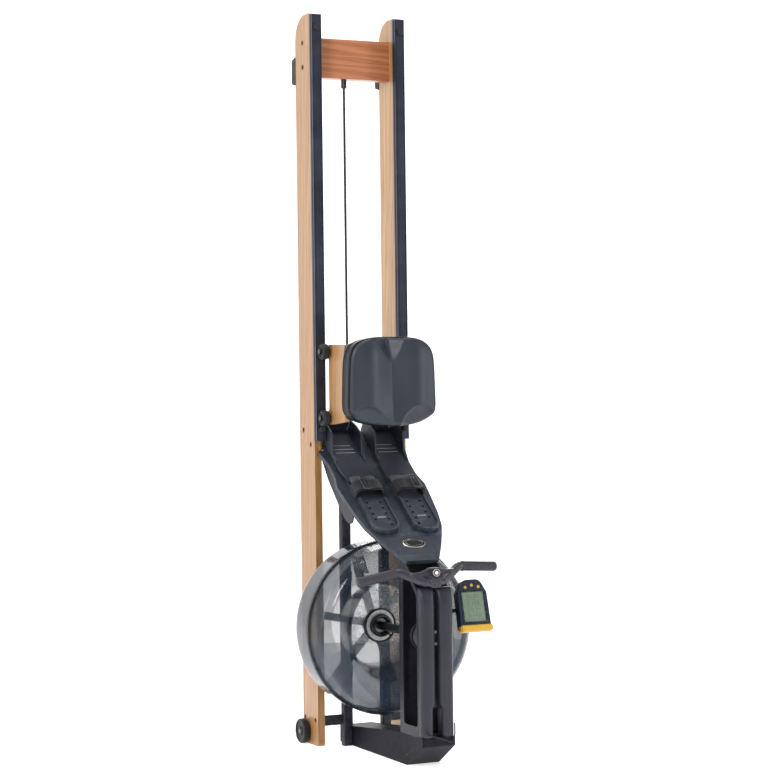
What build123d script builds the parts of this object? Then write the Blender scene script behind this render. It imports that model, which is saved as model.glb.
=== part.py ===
from build123d import *
import os, math

# Water rowing machine, standing on its tank end (storage pose).
# Millimetres. +Z up (length of the machine), -Y the side the rower sits on,
# X across. Working Y = 0 is the front face of the wooden rails; every part is
# moved by Y_SHIFT on export so that the origin is the centre of the footprint.

# ---------------------------------------------------------------- dimensions
RAIL_L, RAIL_T, RAIL_D = 2100.0, 21.0, 109.0
RAIL_IN = 123.0                      # inner face of a rail, from the middle
RAIL_OUT = RAIL_IN + RAIL_T
TRACK_Z0, TRACK_IN, TRACK_OUT, TRACK_D = 875.0, 116.0, 146.0, 20.0
BAR_Z0, BAR_Z1, BAR_Y0, BAR_Y1 = 1921.0, 2036.0, 36.0, 76.0
TUBE_X0, TUBE_X1, TUBE_Y0, TUBE_Y1, TUBE_Z1 = 49.0, 74.0, -27.0, -2.0, 816.0
BASE_W, BASE_BACK, BASE_FRONT, BASE_TOP = 49.0, 61.0, -485.0, 85.0
COL_W, COL_T, COL_BACK, COL_FRONT = 49.0, 4.0, -348.0, -462.0
TANK_Z, TANK_R, TANK_WALL = 351.0, 247.0, 4.0
SHAFT_R = 12.0
SPOOL_R, RECOIL_R = 35.5, 26.0
STRAP_W, STRAP_T = 36.0, 1.5
STRAP_Y = -430.0
CORD_D, CORD_X, CORD_Y = 7.0, -16.0, 52.0
CORD_X2, CORD_Y2 = 18.0, -398.0                # where the cord turns up to the spool
FB_ANGLE, FB_Z0, FB_T = 36.5, 852.0, 12.0      # foot board slope, height, sheet
FOOT_X = 61.5                                   # middle of each foot plate
ROLLER_R, ROLLER_X, ROLLER_Y = 22.5, 131.0, -43.0
ROLLER_Z_UP, ROLLER_Z_LO = 1129.0, 940.0
SEAT_Z0, SEAT_Z1, SEAT_W = 915.0, 1169.0, 137.0
WHEEL_R, WHEEL_Y = 35.5, 85.0
HANDLE_Y, HANDLE_Z, HANDLE_ROLL = -470.0, 500.0, 3.5
MON_X, MON_Y, MON_Z, MON_TILT = 134.0, -440.0, 424.0, 15.0
Y_SHIFT = 178.0

os.makedirs("parts", exist_ok=True)


# ------------------------------------------------------------------- helpers
def box(x0, x1, y0, y1, z0, z1):
    return Pos((x0 + x1) / 2, (y0 + y1) / 2, (z0 + z1) / 2) * Box(abs(x1 - x0), abs(y1 - y0), abs(z1 - z0))


def cyl_x(x0, x1, y, z, r):
    return Pos((x0 + x1) / 2, y, z) * Rot(0, 90, 0) * Cylinder(r, abs(x1 - x0))


def cyl_y(x, y0, y1, z, r):
    return Pos(x, (y0 + y1) / 2, z) * Rot(90, 0, 0) * Cylinder(r, abs(y1 - y0))


def cyl_z(x, y, z0, z1, r):
    return Pos(x, y, (z0 + z1) / 2) * Cylinder(r, abs(z1 - z0))


def rounded(pts):
    """Flat face through (a, b, radius) corners, each corner rounded."""
    n = len(pts)
    ends = []
    for i, (a, b, r) in enumerate(pts):
        p = Vector(a, b)
        if r <= 0:
            ends.append((p, None, p))
            continue
        u = (Vector(*pts[i - 1][:2]) - p).normalized()
        w = (Vector(*pts[(i + 1) % n][:2]) - p).normalized()
        half = math.acos(max(-1.0, min(1.0, u.dot(w)))) / 2
        if half > math.radians(89.0):                    # nearly straight
            ends.append((p, None, p))
            continue
        d = r / math.tan(half)
        bis = (u + w).normalized()
        mid = p + bis * (r / math.sin(half) - r)
        ends.append((p + u * d, mid, p + w * d))
    edges = []
    for i in range(n):
        t1, mid, t2 = ends[i]
        if mid is not None:
            edges.append(ThreePointArc(t1, mid, t2))
        nxt = ends[(i + 1) % n][0]
        if (nxt - t2).length > 1e-4:
            edges.append(Line(t2, nxt))
    return make_face(edges)


def prism_yz(pts, x0, x1):
    """Outline given as (y, z, radius), extruded from x0 to x1."""
    return extrude(Plane.YZ.offset(x0) * rounded(pts), amount=x1 - x0)


def prism_xz(pts, y0, y1):
    """Outline given as (x, z, radius), extruded from y1 down to y0."""
    return extrude(Plane.XZ.offset(-y1) * rounded(pts), amount=y1 - y0)


def prism_xy(pts, z0, z1):
    return extrude(Plane.XY.offset(z0) * rounded(pts), amount=z1 - z0)


def turned_y(pts, zc, xc=0.0):
    """Profile given as (radius, y, corner), turned about the line along Y."""
    return Pos(xc, 0, zc) * revolve(rounded(pts), axis=Axis.Y)


def turned_x(pts, y, z):
    """Profile given as (x, radius, corner), turned about the line along X."""
    return Pos(0, y, z) * revolve(rounded(pts), axis=Axis.X)


def mirror_x(shape):
    return mirror(shape, about=Plane.YZ)


def group(*shapes):
    solids = []
    for s in shapes:
        solids += list(s.solids())
    return Compound(children=solids)


# Foot-board frame: local X across, local Y down the slope, local Z off the face
_a = math.radians(FB_ANGLE)
FB = Plane(origin=(0, 0, FB_Z0), x_dir=(-1, 0, 0), z_dir=(0, -math.sin(_a), math.cos(_a)))


def on_board(shape):
    return FB.location * shape


def prism_fb(pts, n0, n1):
    """Outline (x, s, radius) on the foot board, from height n0 to n1."""
    flipped = [(-x, s, r) for (x, s, r) in pts]
    return on_board(extrude(Plane.XY.offset(n0) * rounded(flipped), amount=n1 - n0))


def box_fb(x0, x1, s0, s1, n0, n1):
    return on_board(Pos(-(x0 + x1) / 2, (s0 + s1) / 2, (n0 + n1) / 2) * Box(abs(x1 - x0), abs(s1 - s0), abs(n1 - n0)))


def cyl_fb(x, s, n0, n1, r):
    return on_board(Pos(-x, s, (n0 + n1) / 2) * Cylinder(r, abs(n1 - n0)))


# monitor pivot, 50 behind its face
PIV = (MON_X, MON_Y + 50 * math.cos(math.radians(MON_TILT)), MON_Z - 50 * math.sin(math.radians(MON_TILT)))

parts = {}

# --------------------------------------------------------------- wooden rails
BOLTS = [(56.0, 1951.0), (56.0, 2021.0), (82.5, 905.0), (30.0, 864.0), (95.0, 73.0), (21.0, 73.0)]
BOLT_IN = [30.0, 30.0, 9.0, 9.0, 9.0, 9.0]           # reach past the inner face
outline = [(0, 0, 10), (RAIL_D, 0, 14), (RAIL_D, RAIL_L, 68), (0, RAIL_L, 10)]
rail = prism_yz(outline, RAIL_IN, RAIL_OUT)
for (y, z) in BOLTS:
    rail -= cyl_x(RAIL_IN - 1, RAIL_OUT + 1, y, z, 4.1)
    rail -= cyl_x(RAIL_OUT - 7, RAIL_OUT + 1, y, z, 7.5)
rail -= cyl_x(RAIL_IN - 1, RAIL_OUT + 1, WHEEL_Y, WHEEL_R, 5.1)
parts["right_rail"] = rail
parts["left_rail"] = mirror_x(rail)

bolts = []
for (y, z), reach in zip(BOLTS, BOLT_IN):
    b = cyl_x(RAIL_IN - reach, RAIL_OUT - 7, y, z, 4.0) + cyl_x(RAIL_OUT - 7, RAIL_OUT - 1.5, y, z, 6.8)
    b -= cyl_x(RAIL_OUT - 4.5, RAIL_OUT, y, z, 2.6)
    bolts += [b, mirror_x(b)]
parts["rail_bolts"] = group(*bolts)

bar = box(-RAIL_IN, RAIL_IN, BAR_Y0, BAR_Y1, BAR_Z0, BAR_Z1)
bar = fillet(bar.edges().filter_by(Axis.X), 4)
for (y, z) in BOLTS[:2]:
    bar -= cyl_x(-RAIL_IN - 1, -RAIL_IN + 31, y, z, 4.1) + cyl_x(RAIL_IN - 31, RAIL_IN + 1, y, z, 4.1)
bar -= cyl_z(CORD_X, CORD_Y, BAR_Z0 - 1, BAR_Z0 + 12, 3.1)
parts["rear_crossbar"] = bar

# --------------------------------------------------- aluminium running tracks
t = box(TRACK_IN, TRACK_OUT, -TRACK_D, 0, TRACK_Z0, RAIL_L - 6)
t -= box(TRACK_IN + 2.5, TRACK_OUT - 2.5, -TRACK_D + 3.5, -4, TRACK_Z0 - 1, RAIL_L)
t -= box(TRACK_IN + 3, TRACK_IN + 5.5, -TRACK_D - 1, -TRACK_D + 1.6, TRACK_Z0 - 1, RAIL_L)
t -= box(TRACK_OUT - 5.5, TRACK_OUT - 3, -TRACK_D - 1, -TRACK_D + 1.6, TRACK_Z0 - 1, RAIL_L)
t -= box(TRACK_IN - 1, TRACK_IN + 1.4, -13, -8, TRACK_Z0 - 1, RAIL_L)
t -= box(TRACK_OUT - 1.4, TRACK_OUT + 1, -13, -8, TRACK_Z0 - 1, RAIL_L)
parts["seat_tracks"] = group(t, mirror_x(t))

stops = []
for z in (2056.0, 908.0):
    s = turned_y([(0, -TRACK_D, 0), (9, -TRACK_D, 0), (9, -TRACK_D - 13, 3), (0, -TRACK_D - 13, 0)], z, ROLLER_X)
    stops += [s, mirror_x(s)]
parts["track_stops"] = group(*stops)

foot = prism_yz([(RAIL_D, 1905, 0), (RAIL_D + 25, 1912, 5), (RAIL_D + 25, 1980, 5), (RAIL_D, 1987, 0)], 121.5, 145.5)
parts["rear_feet"] = group(foot, mirror_x(foot))

# ------------------------------------------------------------ transport wheels
wx0, wx1 = RAIL_OUT + 3.0, RAIL_OUT + 23.0
wheel = turned_x([(wx0, 5.08, 0), (wx0, WHEEL_R, 4), (wx0 + 13, WHEEL_R, 6), (wx1, 21, 3), (wx1 - 1, 11, 0), (wx1 - 4, 9, 0), (wx1 - 4, 5.08, 0)], WHEEL_Y, WHEEL_R)
parts["transport_wheel_right"] = wheel
parts["transport_wheel_left"] = mirror_x(wheel)
axle = cyl_x(RAIL_IN, wx1 - 3.6, WHEEL_Y, WHEEL_R, 5.0) + cyl_x(RAIL_OUT, RAIL_OUT + 2.7, WHEEL_Y, WHEEL_R, 9.0)
axle += turned_x([(wx1 - 3.7, 0, 0), (wx1 - 3.7, 8, 0), (wx1 + 0.5, 6.5, 2), (wx1 + 0.5, 0, 0)], WHEEL_Y, WHEEL_R)
parts["wheel_axles"] = group(axle, mirror_x(axle))

# --------------------------------------------------------- steel lower frame
tube = box(TUBE_X0, TUBE_X1, TUBE_Y0, TUBE_Y1, 0.0, TUBE_Z1)
tube = fillet(tube.edges().filter_by(Axis.Z), 3)
tube -= box(TUBE_X0 + 2, TUBE_X1 - 2, TUBE_Y0 + 2, TUBE_Y1 - 2, -1, TUBE_Z1 - 2)
parts["frame_tubes"] = group(tube, mirror_x(tube))

br = box(RAIL_IN - 4, RAIL_IN, -2, 106, 58, 88) + box(56, RAIL_IN, -2, 3, 58, 88)
for (y, z) in BOLTS[4:]:
    br -= cyl_x(RAIL_IN - 8, RAIL_IN + 1, y, z, 4.1)
# the rails start at Y 0, so the cross leg stays inside their inner faces
parts["rail_brackets"] = group(br, mirror_x(br))

outer = [(BASE_BACK, 0, 0), (-385, 0, 4), (BASE_FRONT, 62, 8), (BASE_FRONT, BASE_TOP, 2), (-345, BASE_TOP, 8), (BASE_BACK, 48, 2)]
inner = [(BASE_BACK - 4, -5, 0), (-383, -5, 0), (-383, 4, 0), (BASE_FRONT + 4, 64.3, 4), (BASE_FRONT + 4, BASE_TOP - 4, 0), (-345.6, BASE_TOP - 4, 0), (BASE_BACK - 4, 44.2, 0)]
base = prism_yz(outer, -BASE_W, BASE_W) - prism_yz(inner, -BASE_W + 4, BASE_W - 4)
base -= cyl_z(CORD_X, CORD_Y, 30, 60, 5.5)
base -= box(8, 40, -416, -380, 70, 100)
pins_x = [(CORD_Y - 12.0, 28.0, CORD_X), (CORD_Y2 + 12.0, 28.0, CORD_X2)]    # bungee pulleys: y, z, x
for (y, z, x) in pins_x:
    base -= cyl_x(-BASE_W - 1, -BASE_W + 5, y, z, 3.05)
    base -= cyl_x(BASE_W - 5, BASE_W + 1, y, z, 3.05)
parts["base_arm"] = base

# ------------------------------------------------------------ upright column
side = [(COL_BACK, BASE_TOP, 0), (COL_BACK, 579, 4), (-402, 539, 6), (-432, 500, 16), (COL_FRONT, 478, 8), (COL_FRONT, BASE_TOP, 0)]
channel = prism_yz(side, -COL_W, COL_W)
channel -= box(-COL_W + COL_T, COL_W - COL_T, COL_FRONT - 1, COL_BACK - COL_T, BASE_TOP - 1, 600)
window = prism_yz([(-457, 112, 12), (-371, 112, 10), (-371, 520, 22), (-418, 502, 18), (-457, 464, 18)], -COL_W - 1, -COL_W + COL_T + 1)
channel -= window
channel -= cyl_y(0, COL_BACK - 5, COL_BACK + 1, TANK_Z, 20.0)
GUIDE_X, GUIDE_Z, GUIDE_R = 12.1, 440.0, 11.0
channel -= cyl_y(GUIDE_X, COL_BACK - 5, COL_BACK + 1, GUIDE_Z, 4.05)
channel -= cyl_x(COL_W - COL_T - 1, COL_W + 1, PIV[1], PIV[2], 6.05)
parts["column_channel"] = channel

fp = box(-COL_W + COL_T, COL_W - COL_T, COL_FRONT, COL_FRONT + COL_T, BASE_TOP, 474)
fp -= cyl_y(0, COL_FRONT - 1, COL_FRONT + 5, TANK_Z, 20.0)
fp -= cyl_y(GUIDE_X, COL_FRONT - 1, COL_FRONT + 5, GUIDE_Z, 4.05)
fp -= box(-11, 11, COL_FRONT - 1, COL_FRONT + 5, 92, 162)
parts["column_front_plate"] = fp

lobe = prism_xy([(5, COL_FRONT, 0), (5, COL_FRONT - 25, 13), (COL_W, COL_FRONT - 25, 17), (COL_W, COL_FRONT, 0)], BASE_TOP, 500)
lobe = lobe & prism_xz([(4, BASE_TOP, 0), (4, 484, 14), (28, 489, 20), (COL_W + 1, 494, 14), (COL_W + 1, BASE_TOP, 0)], COL_FRONT - 30, COL_FRONT)
lobe -= box(-12, 12, COL_FRONT - 30, COL_FRONT + 1, BASE_TOP - 1, 165)
lobe -= cyl_y(0, COL_FRONT - 14, COL_FRONT + 1, TANK_Z, 21.0)
lobe -= cyl_y(GUIDE_X, COL_FRONT - 3, COL_FRONT + 1, GUIDE_Z, 6.0)
parts["column_covers"] = group(lobe, mirror_x(lobe))

# -------------------------------------------------------------- water tank
back_profile = [(TANK_R, -167, 0), (TANK_R, -161, 1), (241, -161, 0), (241, -38, 46), (0, -38, 0), (0, -46, 0),
                (20, -46, 0), (20, -60, 0), (26, -60, 1), (26, -42, 2), (237, -42, 42), (237, -167, 0)]
front_profile = [(TANK_R, -171, 0), (TANK_R, -177, 1), (240, -177, 0), (224, -256, 48), (150, -256, 10), (118, -112, 14),
                 (20, -112, 0), (20, -108, 0), (121.6, -108, 10), (153.5, -252, 6), (220.5, -252, 44), (236, -177, 0), (236.6, -171, 0)]
tank_back = turned_y(back_profile, TANK_Z)
tank_front = turned_y(front_profile, TANK_Z)
seal = turned_y([(237.2, -171, 0), (246.5, -171, 0), (246.5, -167, 0), (237.2, -167, 0)], TANK_Z)
SCREW_R, N_SCREW = 243.9, 14
screws, holes = [], []
for i in range(N_SCREW):
    a = math.radians(360.0 / N_SCREW * (i + 0.5) + 90)
    x, z = SCREW_R * math.cos(a), TANK_Z + SCREW_R * math.sin(a)
    holes.append(cyl_y(x, -190, -150, z, 1.6))
    screws.append(cyl_y(x, -177, -161, z, 1.5) + cyl_y(x, -180.5, -177, z, 2.9) + cyl_y(x, -161, -158, z, 2.7))
for h in holes:
    tank_back -= h
    tank_front -= h
    seal -= h
parts["tank_back_shell"] = tank_back
parts["tank_front_shell"] = tank_front
parts["tank_seal"] = seal
parts["tank_screws"] = group(*screws)

blocks = []
for z in (486.0, 216.0):
    b = box(TUBE_X0 + 1, TUBE_X1 - 1, -38, TUBE_Y0, z - 16, z + 16)
    blocks += [b, mirror_x(b)]
parts["tank_brackets"] = group(*blocks)

# impeller on its shaft
imp = cyl_y(0, -102, -64, TANK_Z, 30)
for i in range(6):
    arm = box(26, 172, -90, -78, -11, 11)
    blade = box(160, 225, -150, -62, -2.5, 2.5)
    rib = prism_xz([(120, -2.5, 0), (165, -2.5, 0), (165, 2.5, 0), (120, 2.5, 0)], -110, -78)
    imp += Pos(0, 0, TANK_Z) * Rot(0, 60 * i + 12, 0) * (arm + blade + rib)
imp -= cyl_y(0, -110, -50, TANK_Z, SHAFT_R + 0.02)
parts["impeller"] = imp
parts["main_shaft"] = cyl_y(0, -466, -47, TANK_Z, SHAFT_R)


def ring_y(x, z, r0, r1, y0, y1):
    return cyl_y(x, y0, y1, z, r1) - cyl_y(x, y0 - 1, y1 + 1, z, r0)


parts["shaft_bearings"] = group(
    ring_y(0, TANK_Z, SHAFT_R + 0.05, 20.0, -60, -46.5),
    ring_y(0, TANK_Z, SHAFT_R + 0.05, 20.0, -120, -104),
    ring_y(0, TANK_Z, SHAFT_R + 0.05, 20.0, -364, -346),
    ring_y(0, TANK_Z, SHAFT_R + 0.05, 20.0, -472, -458))

# level selector on the front of the tank
scale = ring_y(0, TANK_Z, 20.2, 49, -118, -112) - ring_y(0, TANK_Z, 34, 60, -120, -117)
scale += ring_y(0, TANK_Z, 47, 49, -121, -117)
parts["selector_scale_ring"] = scale
knob = turned_y([(20.4, -118.3, 0), (32.5, -118.3, 0), (32.5, -132, 3), (24, -134, 2), (20.4, -134, 0)], TANK_Z)
for i in range(18):
    a = math.radians(20 * i)
    knob -= cyl_y(33.4 * math.cos(a), -140, -121, TANK_Z + 33.4 * math.sin(a), 1.8)
knob += Pos(0, 0, TANK_Z) * Rot(0, 38, 0) * box(30, 41, -128, -120, -3.5, 3.5)
parts["selector_knob"] = knob

# ------------------------------------------------------- strap drive in column
spool = cyl_y(0, -455, -451, TANK_Z, 42) + cyl_y(0, -451, -409, TANK_Z, SPOOL_R) + cyl_y(0, -409, -405, TANK_Z, 42)
spool += cyl_y(0, -405, -391, TANK_Z, RECOIL_R) + cyl_y(0, -391, -388, TANK_Z, 35)
spool -= cyl_y(0, -460, -380, TANK_Z, 20.0)
parts["drive_spool"] = spool
parts["one_way_clutch"] = ring_y(0, TANK_Z, SHAFT_R + 0.06, 20.0, -452, -391)

rho1, rho2 = SPOOL_R + 1.1, GUIDE_R + 1.1
dist = math.hypot(GUIDE_X, GUIDE_Z - TANK_Z)
lean = math.asin((rho1 + rho2) / dist) - math.atan2(GUIDE_X, GUIDE_Z - TANK_Z)
line = []
for k in range(0, 4):                                    # last of the wrap
    b = lean - math.radians(30) * (1 - k / 3)
    line.append((rho1 * math.cos(b), TANK_Z + rho1 * math.sin(b)))
for k in range(0, 4):                                    # over the guide roller
    b = lean * (1 - k / 3)
    line.append((GUIDE_X - rho2 * math.cos(b), GUIDE_Z - rho2 * math.sin(b)))
line.append((0.0, 452.0))


def thick_line(pts, t):
    left, right = [], []
    for i, p in enumerate(pts):
        a = pts[max(i - 1, 0)]
        b = pts[min(i + 1, len(pts) - 1)]
        dx, dz = b[0] - a[0], b[1] - a[1]
        ln = math.hypot(dx, dz)
        nx, nz = -dz / ln * t / 2, dx / ln * t / 2
        left.append((p[0] + nx, p[1] + nz, 0))
        right.append((p[0] - nx, p[1] - nz, 0))
    return left + right[::-1]


parts["strap_inner_run"] = prism_xz(thick_line(line, STRAP_T), STRAP_Y - STRAP_W / 2, STRAP_Y + STRAP_W / 2)
parts["drive_strap"] = box(-STRAP_T / 2, STRAP_T / 2, STRAP_Y - STRAP_W / 2, STRAP_Y + STRAP_W / 2, 452.2, 514)
roller = turned_y([(4.08, -409.5, 0), (GUIDE_R + 1.5, -409.5, 0.5), (GUIDE_R + 1.5, -411, 0), (GUIDE_R, -411, 0),
                   (GUIDE_R, -449, 0), (GUIDE_R + 1.5, -449, 0), (GUIDE_R + 1.5, -450.5, 0.5), (4.08, -450.5, 0)], GUIDE_Z, GUIDE_X)
parts["guide_roller"] = roller

# recoil cord: crossbar - down behind the seat - base - up to the spool
pul = []
for (y, z, x) in pins_x:
    pul.append(turned_x([(x - 8, 3.08, 0), (x - 8, 14.5, 0.5), (x - 6.4, 14.5, 0), (x - 4.8, 8.0, 0), (x + 4.8, 8.0, 0),
                         (x + 6.4, 14.5, 0), (x + 8, 14.5, 0.5), (x + 8, 3.08, 0)], y, z))
parts["bungee_pulley_rear"], parts["bungee_pulley_front"] = pul
pins = [cyl_x(-BASE_W, BASE_W, y, z, 3.0) for (y, z, x) in pins_x]
pins.append(cyl_y(GUIDE_X, COL_FRONT, COL_BACK, GUIDE_Z, 4.0))
parts["pulley_pins"] = group(*pins)

TOP_X = RECOIL_R + CORD_D / 2 + 0.6
route = [(CORD_X, CORD_Y, 1914.0), (CORD_X, CORD_Y, 16.0), (CORD_X2, CORD_Y2, 16.0), (TOP_X, CORD_Y2, TANK_Z)]
path = FilletPolyline(*route, radius=12.0)
start = Plane(origin=route[0], z_dir=(0, 0, -1))
parts["bungee_cord"] = sweep(start * Circle(CORD_D / 2), path=path)
hook = cyl_z(CORD_X, CORD_Y, 1896, BAR_Z0, 8) - cyl_z(CORD_X, CORD_Y, 1890, 1914.5, 3.8) + cyl_z(CORD_X, CORD_Y, BAR_Z0, BAR_Z0 + 11, 3.0)
parts["bungee_hook"] = hook

# ----------------------------------------------------------------- foot board
half = [(138, 9.5, 3), (127, 70, 40), (127, 126, 40), (137, 172, 14), (133, 228, 30), (126, 300, 60), (116, 355, 60), (100, 396, 60),
        (80, 440, 60), (62, 475, 60), (49, 500, 6)]
outline = half + [(-x, s, r) for (x, s, r) in half[::-1]]
board = prism_fb(outline, -FB_T, 0)
# narrow upper part between the rails, slotted for the recoil cord
board += prism_fb([(114, 9.5, 0), (114, -72, 10), (-114, -72, 10), (-114, 9.5, 0)], -FB_T, 0)
board -= box(CORD_X - 9, CORD_X + 9, CORD_Y - 9, CORD_Y + 40, 850, 920)
parts["footboard"] = board
parts["footboard_badge"] = on_board(Pos(0, 430, 0) * extrude(Ellipse(35, 19), amount=2.6))

sp = [(103, 930, 8), (103, 888, 10), (12, 836, 30), (-46, 762, 30), (-94, 716, 30), (-160, 656, 20), (-208, 640, 22), (-214, 677.5, 3), (-3, 833.5, 3), (22, 884, 12), (62, 930, 8)]
plate = prism_yz(sp, 119, RAIL_IN)
for (y, z) in BOLTS[2:4]:
    plate -= cyl_x(100, 130, y, z, 4.1)
parts["footboard_side_plates"] = group(plate, mirror_x(plate))

tp = [(20, 150, 6), (103, 150, 6), (103, 388, 38), (20, 388, 38)]
toe = prism_fb(tp, 0, 9)
toe += prism_fb([(20, 246, 3), (103, 246, 3), (103, 388, 38), (20, 388, 38)], 9, 12)
rim = prism_fb([(20, 246, 3), (103, 246, 3), (103, 388, 38), (20, 388, 38)], 12, 18)
rim -= prism_fb([(26, 240, 0), (97, 240, 0), (97, 382, 32), (26, 382, 32)], 11.9, 19)
toe += rim
for s in (262, 286, 310, 334, 358):
    for dx in (-20, 20):
        if s == 358 and dx == 20:
            continue
        toe -= cyl_fb(FOOT_X + dx, s, 4, 13, 4.4)
parts["toe_plates"] = group(toe, mirror_x(toe))

hp = prism_fb([(20, -70, 8), (113, -70, 8), (113, 120, 20), (103, 165, 10), (26, 165, 10), (20, 150, 10)], 9.3, 15.3)
hp += box_fb(30, 40, 15, 125, 0.3, 9.4) + box_fb(93, 103, 15, 125, 0.3, 9.4)
for x0 in (20, 109):
    hp += box_fb(x0, x0 + 4, -60, 82, 15, 22)
    # side wall of the heel cup: outline (s, n)
    cheek = rounded([(-66, 15, 0), (-66, 52, 4), (-28, 62, 16), (14, 66, 12), (60, 15, 0)])
    hp += on_board(extrude(Plane.YZ.offset(-x0 - 4) * cheek, amount=4))
hp += box_fb(26, 107, -69, -63, 15, 52)
for s in (8, 25, 41):
    hp -= box_fb(34, 100, s - 1.6, s + 1.6, 13.5, 16)
parts["right_heel_plate"] = hp
parts["left_heel_plate"] = mirror_x(hp)

# webbing loop over each foot: outline (x, n), width along the slope
ST0, ST1 = 188.0, 234.0


def loop_fb(pts):
    flipped = [(-x, n, r) for (x, n, r) in pts]
    return on_board(Pos(0, ST1, 0) * extrude(Plane.XZ * rounded(flipped), amount=ST1 - ST0))


band = loop_fb([(16.5, 0.3, 0), (16.5, 43, 18), (106.5, 43, 18), (106.5, 0.3, 0), (103.6, 0.3, 0), (103.6, 40.1, 15.5), (19.4, 40.1, 15.5), (19.4, 0.3, 0)])
parts["foot_straps"] = group(band, mirror_x(band))
bk = box_fb(68, 86, 183, 239, 43.3, 47.6) - box_fb(71, 75, 188, 234, 43, 48) - box_fb(79, 83, 188, 234, 43, 48)
parts["strap_buckles"] = group(bk, mirror_x(bk))

# --------------------------------------------------------------------- handle
roll = math.tan(math.radians(HANDLE_ROLL))


def hpt(x, y, z):
    return (x, y, z + x * roll)


hp_pts = [hpt(-205, -424, 518), hpt(-88, -440, 533), hpt(-24, HANDLE_Y, HANDLE_Z), hpt(24, HANDLE_Y, HANDLE_Z), hpt(88, -440, 533), hpt(205, -424, 518)]
bar_path = FilletPolyline(*hp_pts, radius=26.0)
d0 = (Vector(*hp_pts[1]) - Vector(*hp_pts[0])).normalized()
d1 = (Vector(*hp_pts[5]) - Vector(*hp_pts[4])).normalized()
parts["handle_bar"] = sweep(Plane(origin=hp_pts[0], z_dir=d0) * Circle(11.0), path=bar_path)
grips = []
for end, inward in ((hp_pts[0], d0), (hp_pts[5], d1 * -1)):
    pl = Plane(origin=Vector(*end) - inward * 4, z_dir=inward)
    g = pl.location * (Pos(0, 0, 57) * Cylinder(13.2, 114))
    g = fillet(g.edges(), 2.5)
    g -= Plane(origin=Vector(*end), z_dir=inward).location * (Pos(0, 0, 60) * Cylinder(11.03, 120))
    grips.append(g)
parts["handle_grips"] = group(*grips)
yoke = prism_xz([(-15, 486, 4), (15, 486, 4), (23, 520, 14), (17, 540, 10), (-17, 540, 10), (-23, 520, 14)], -460.5, -451.5)
yoke += box(-12, 12, -452, -408, 514.2, 522) + cyl_y(0, -467, -452, 527, 10.5)
yoke += box(-14, 14, HANDLE_Y - 13, -452, 486.5, 514)
bore = Plane(origin=(0, HANDLE_Y, HANDLE_Z), z_dir=(Vector(*hp_pts[3]) - Vector(*hp_pts[2])).normalized())
yoke -= bore.location * Cylinder(11.03, 120)
parts["handle_yoke"] = yoke

# ----------------------------------------------------------------- seat
cush = box(-SEAT_W, SEAT_W, -244, -167.0, SEAT_Z0, SEAT_Z1)
cush = fillet(cush.edges().filter_by(Axis.Y), 34)
cush = fillet(cush.faces().sort_by(Axis.Y)[0].edges(), 22)
cush = fillet(cush.faces().sort_by(Axis.Y)[-1].edges(), 12)
parts["seat_cushion"] = cush
pan = box(-116, 116, -166.7, -150, 932, 1152)
pan = fillet(pan.edges().filter_by(Axis.Y), 24)
parts["seat_base"] = pan
pn = [(-150, 930, 6), (-150, 1147, 6), (-40, 1149, 10), (-28, 1142, 8), (-28, 1114, 6), (-38, 1106, 6), (-38, 964, 6), (-28, 956, 6), (-28, 928, 8), (-42, 921, 10)]
panel = prism_yz(pn, 100, 114)
for z in (ROLLER_Z_UP, ROLLER_Z_LO):
    panel -= cyl_x(99, 116, ROLLER_Y, z, 5.05)
    panel -= cyl_x(98, 104, ROLLER_Y, z, 9.0)
parts["carriage_panels"] = group(panel, mirror_x(panel))
ax = []
for z in (ROLLER_Z_UP, ROLLER_Z_LO):
    a = cyl_x(100, 145, ROLLER_Y, z, 5.0) + cyl_x(100, 103.8, ROLLER_Y, z, 8.7) + cyl_x(141.6, 146.5, ROLLER_Y, z, 8.0) + cyl_x(114, 120.5, ROLLER_Y, z, 8.0)
    ax += [a, mirror_x(a)]
parts["roller_axles"] = group(*ax)
for name, z in (("upper_rollers", ROLLER_Z_UP), ("lower_rollers", ROLLER_Z_LO)):
    r = turned_x([(121, 5.08, 0), (121, 14, 1), (122.5, ROLLER_R, 3), (140, ROLLER_R, 3), (141.3, 14, 1), (141.3, 5.08, 0)], ROLLER_Y, z)
    parts[name] = group(r, mirror_x(r))

# --------------------------------------------------------------- monitor
mon = Pos(MON_X, MON_Y, MON_Z) * Rot(-MON_TILT, 0, 0)
face = [(-46, -62, 7), (46, -62, 7), (44, 40, 10), (26, 76, 22), (-26, 76, 22), (-44, 40, 10)]
body = prism_xz(face, 0, 26) + prism_xz([(-30, -44, 8), (30, -44, 8), (30, 50, 12), (-30, 50, 12)], 26, 40)
body += prism_xz([(-47, -66, 5), (47, -66, 5), (47, -50, 4), (-47, -50, 4)], -5, 18)
body -= prism_xz([(-33, -40, 2), (33, -40, 2), (33, 42, 2), (-33, 42, 2)], -1, 3)
KEYS = [(-20, 55), (0, 60), (20, 55)]
for (kx, kz) in KEYS:
    body -= cyl_y(kx, -1, 5, kz, 4.6)
# pivot lug on the back
body += box(-9, 9, 38, 60, -12, 12)
body -= cyl_x(-12, 12, 50, 0, 6.06)
parts["monitor_housing"] = mon * body
parts["monitor_screen"] = mon * prism_xz([(-32.8, -39.8, 2), (32.8, -39.8, 2), (32.8, 41.8, 2), (-32.8, 41.8, 2)], 1.4, 3)
for i, (kx, kz) in enumerate(KEYS):
    k = cyl_y(kx, -1.8, 3.6, kz, 4.3)
    parts["monitor_key_%d" % (i + 1)] = mon * k
arm = cyl_x(COL_W - COL_T, MON_X + 16, PIV[1], PIV[2], 6.0)
parts["monitor_arm"] = arm

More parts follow.
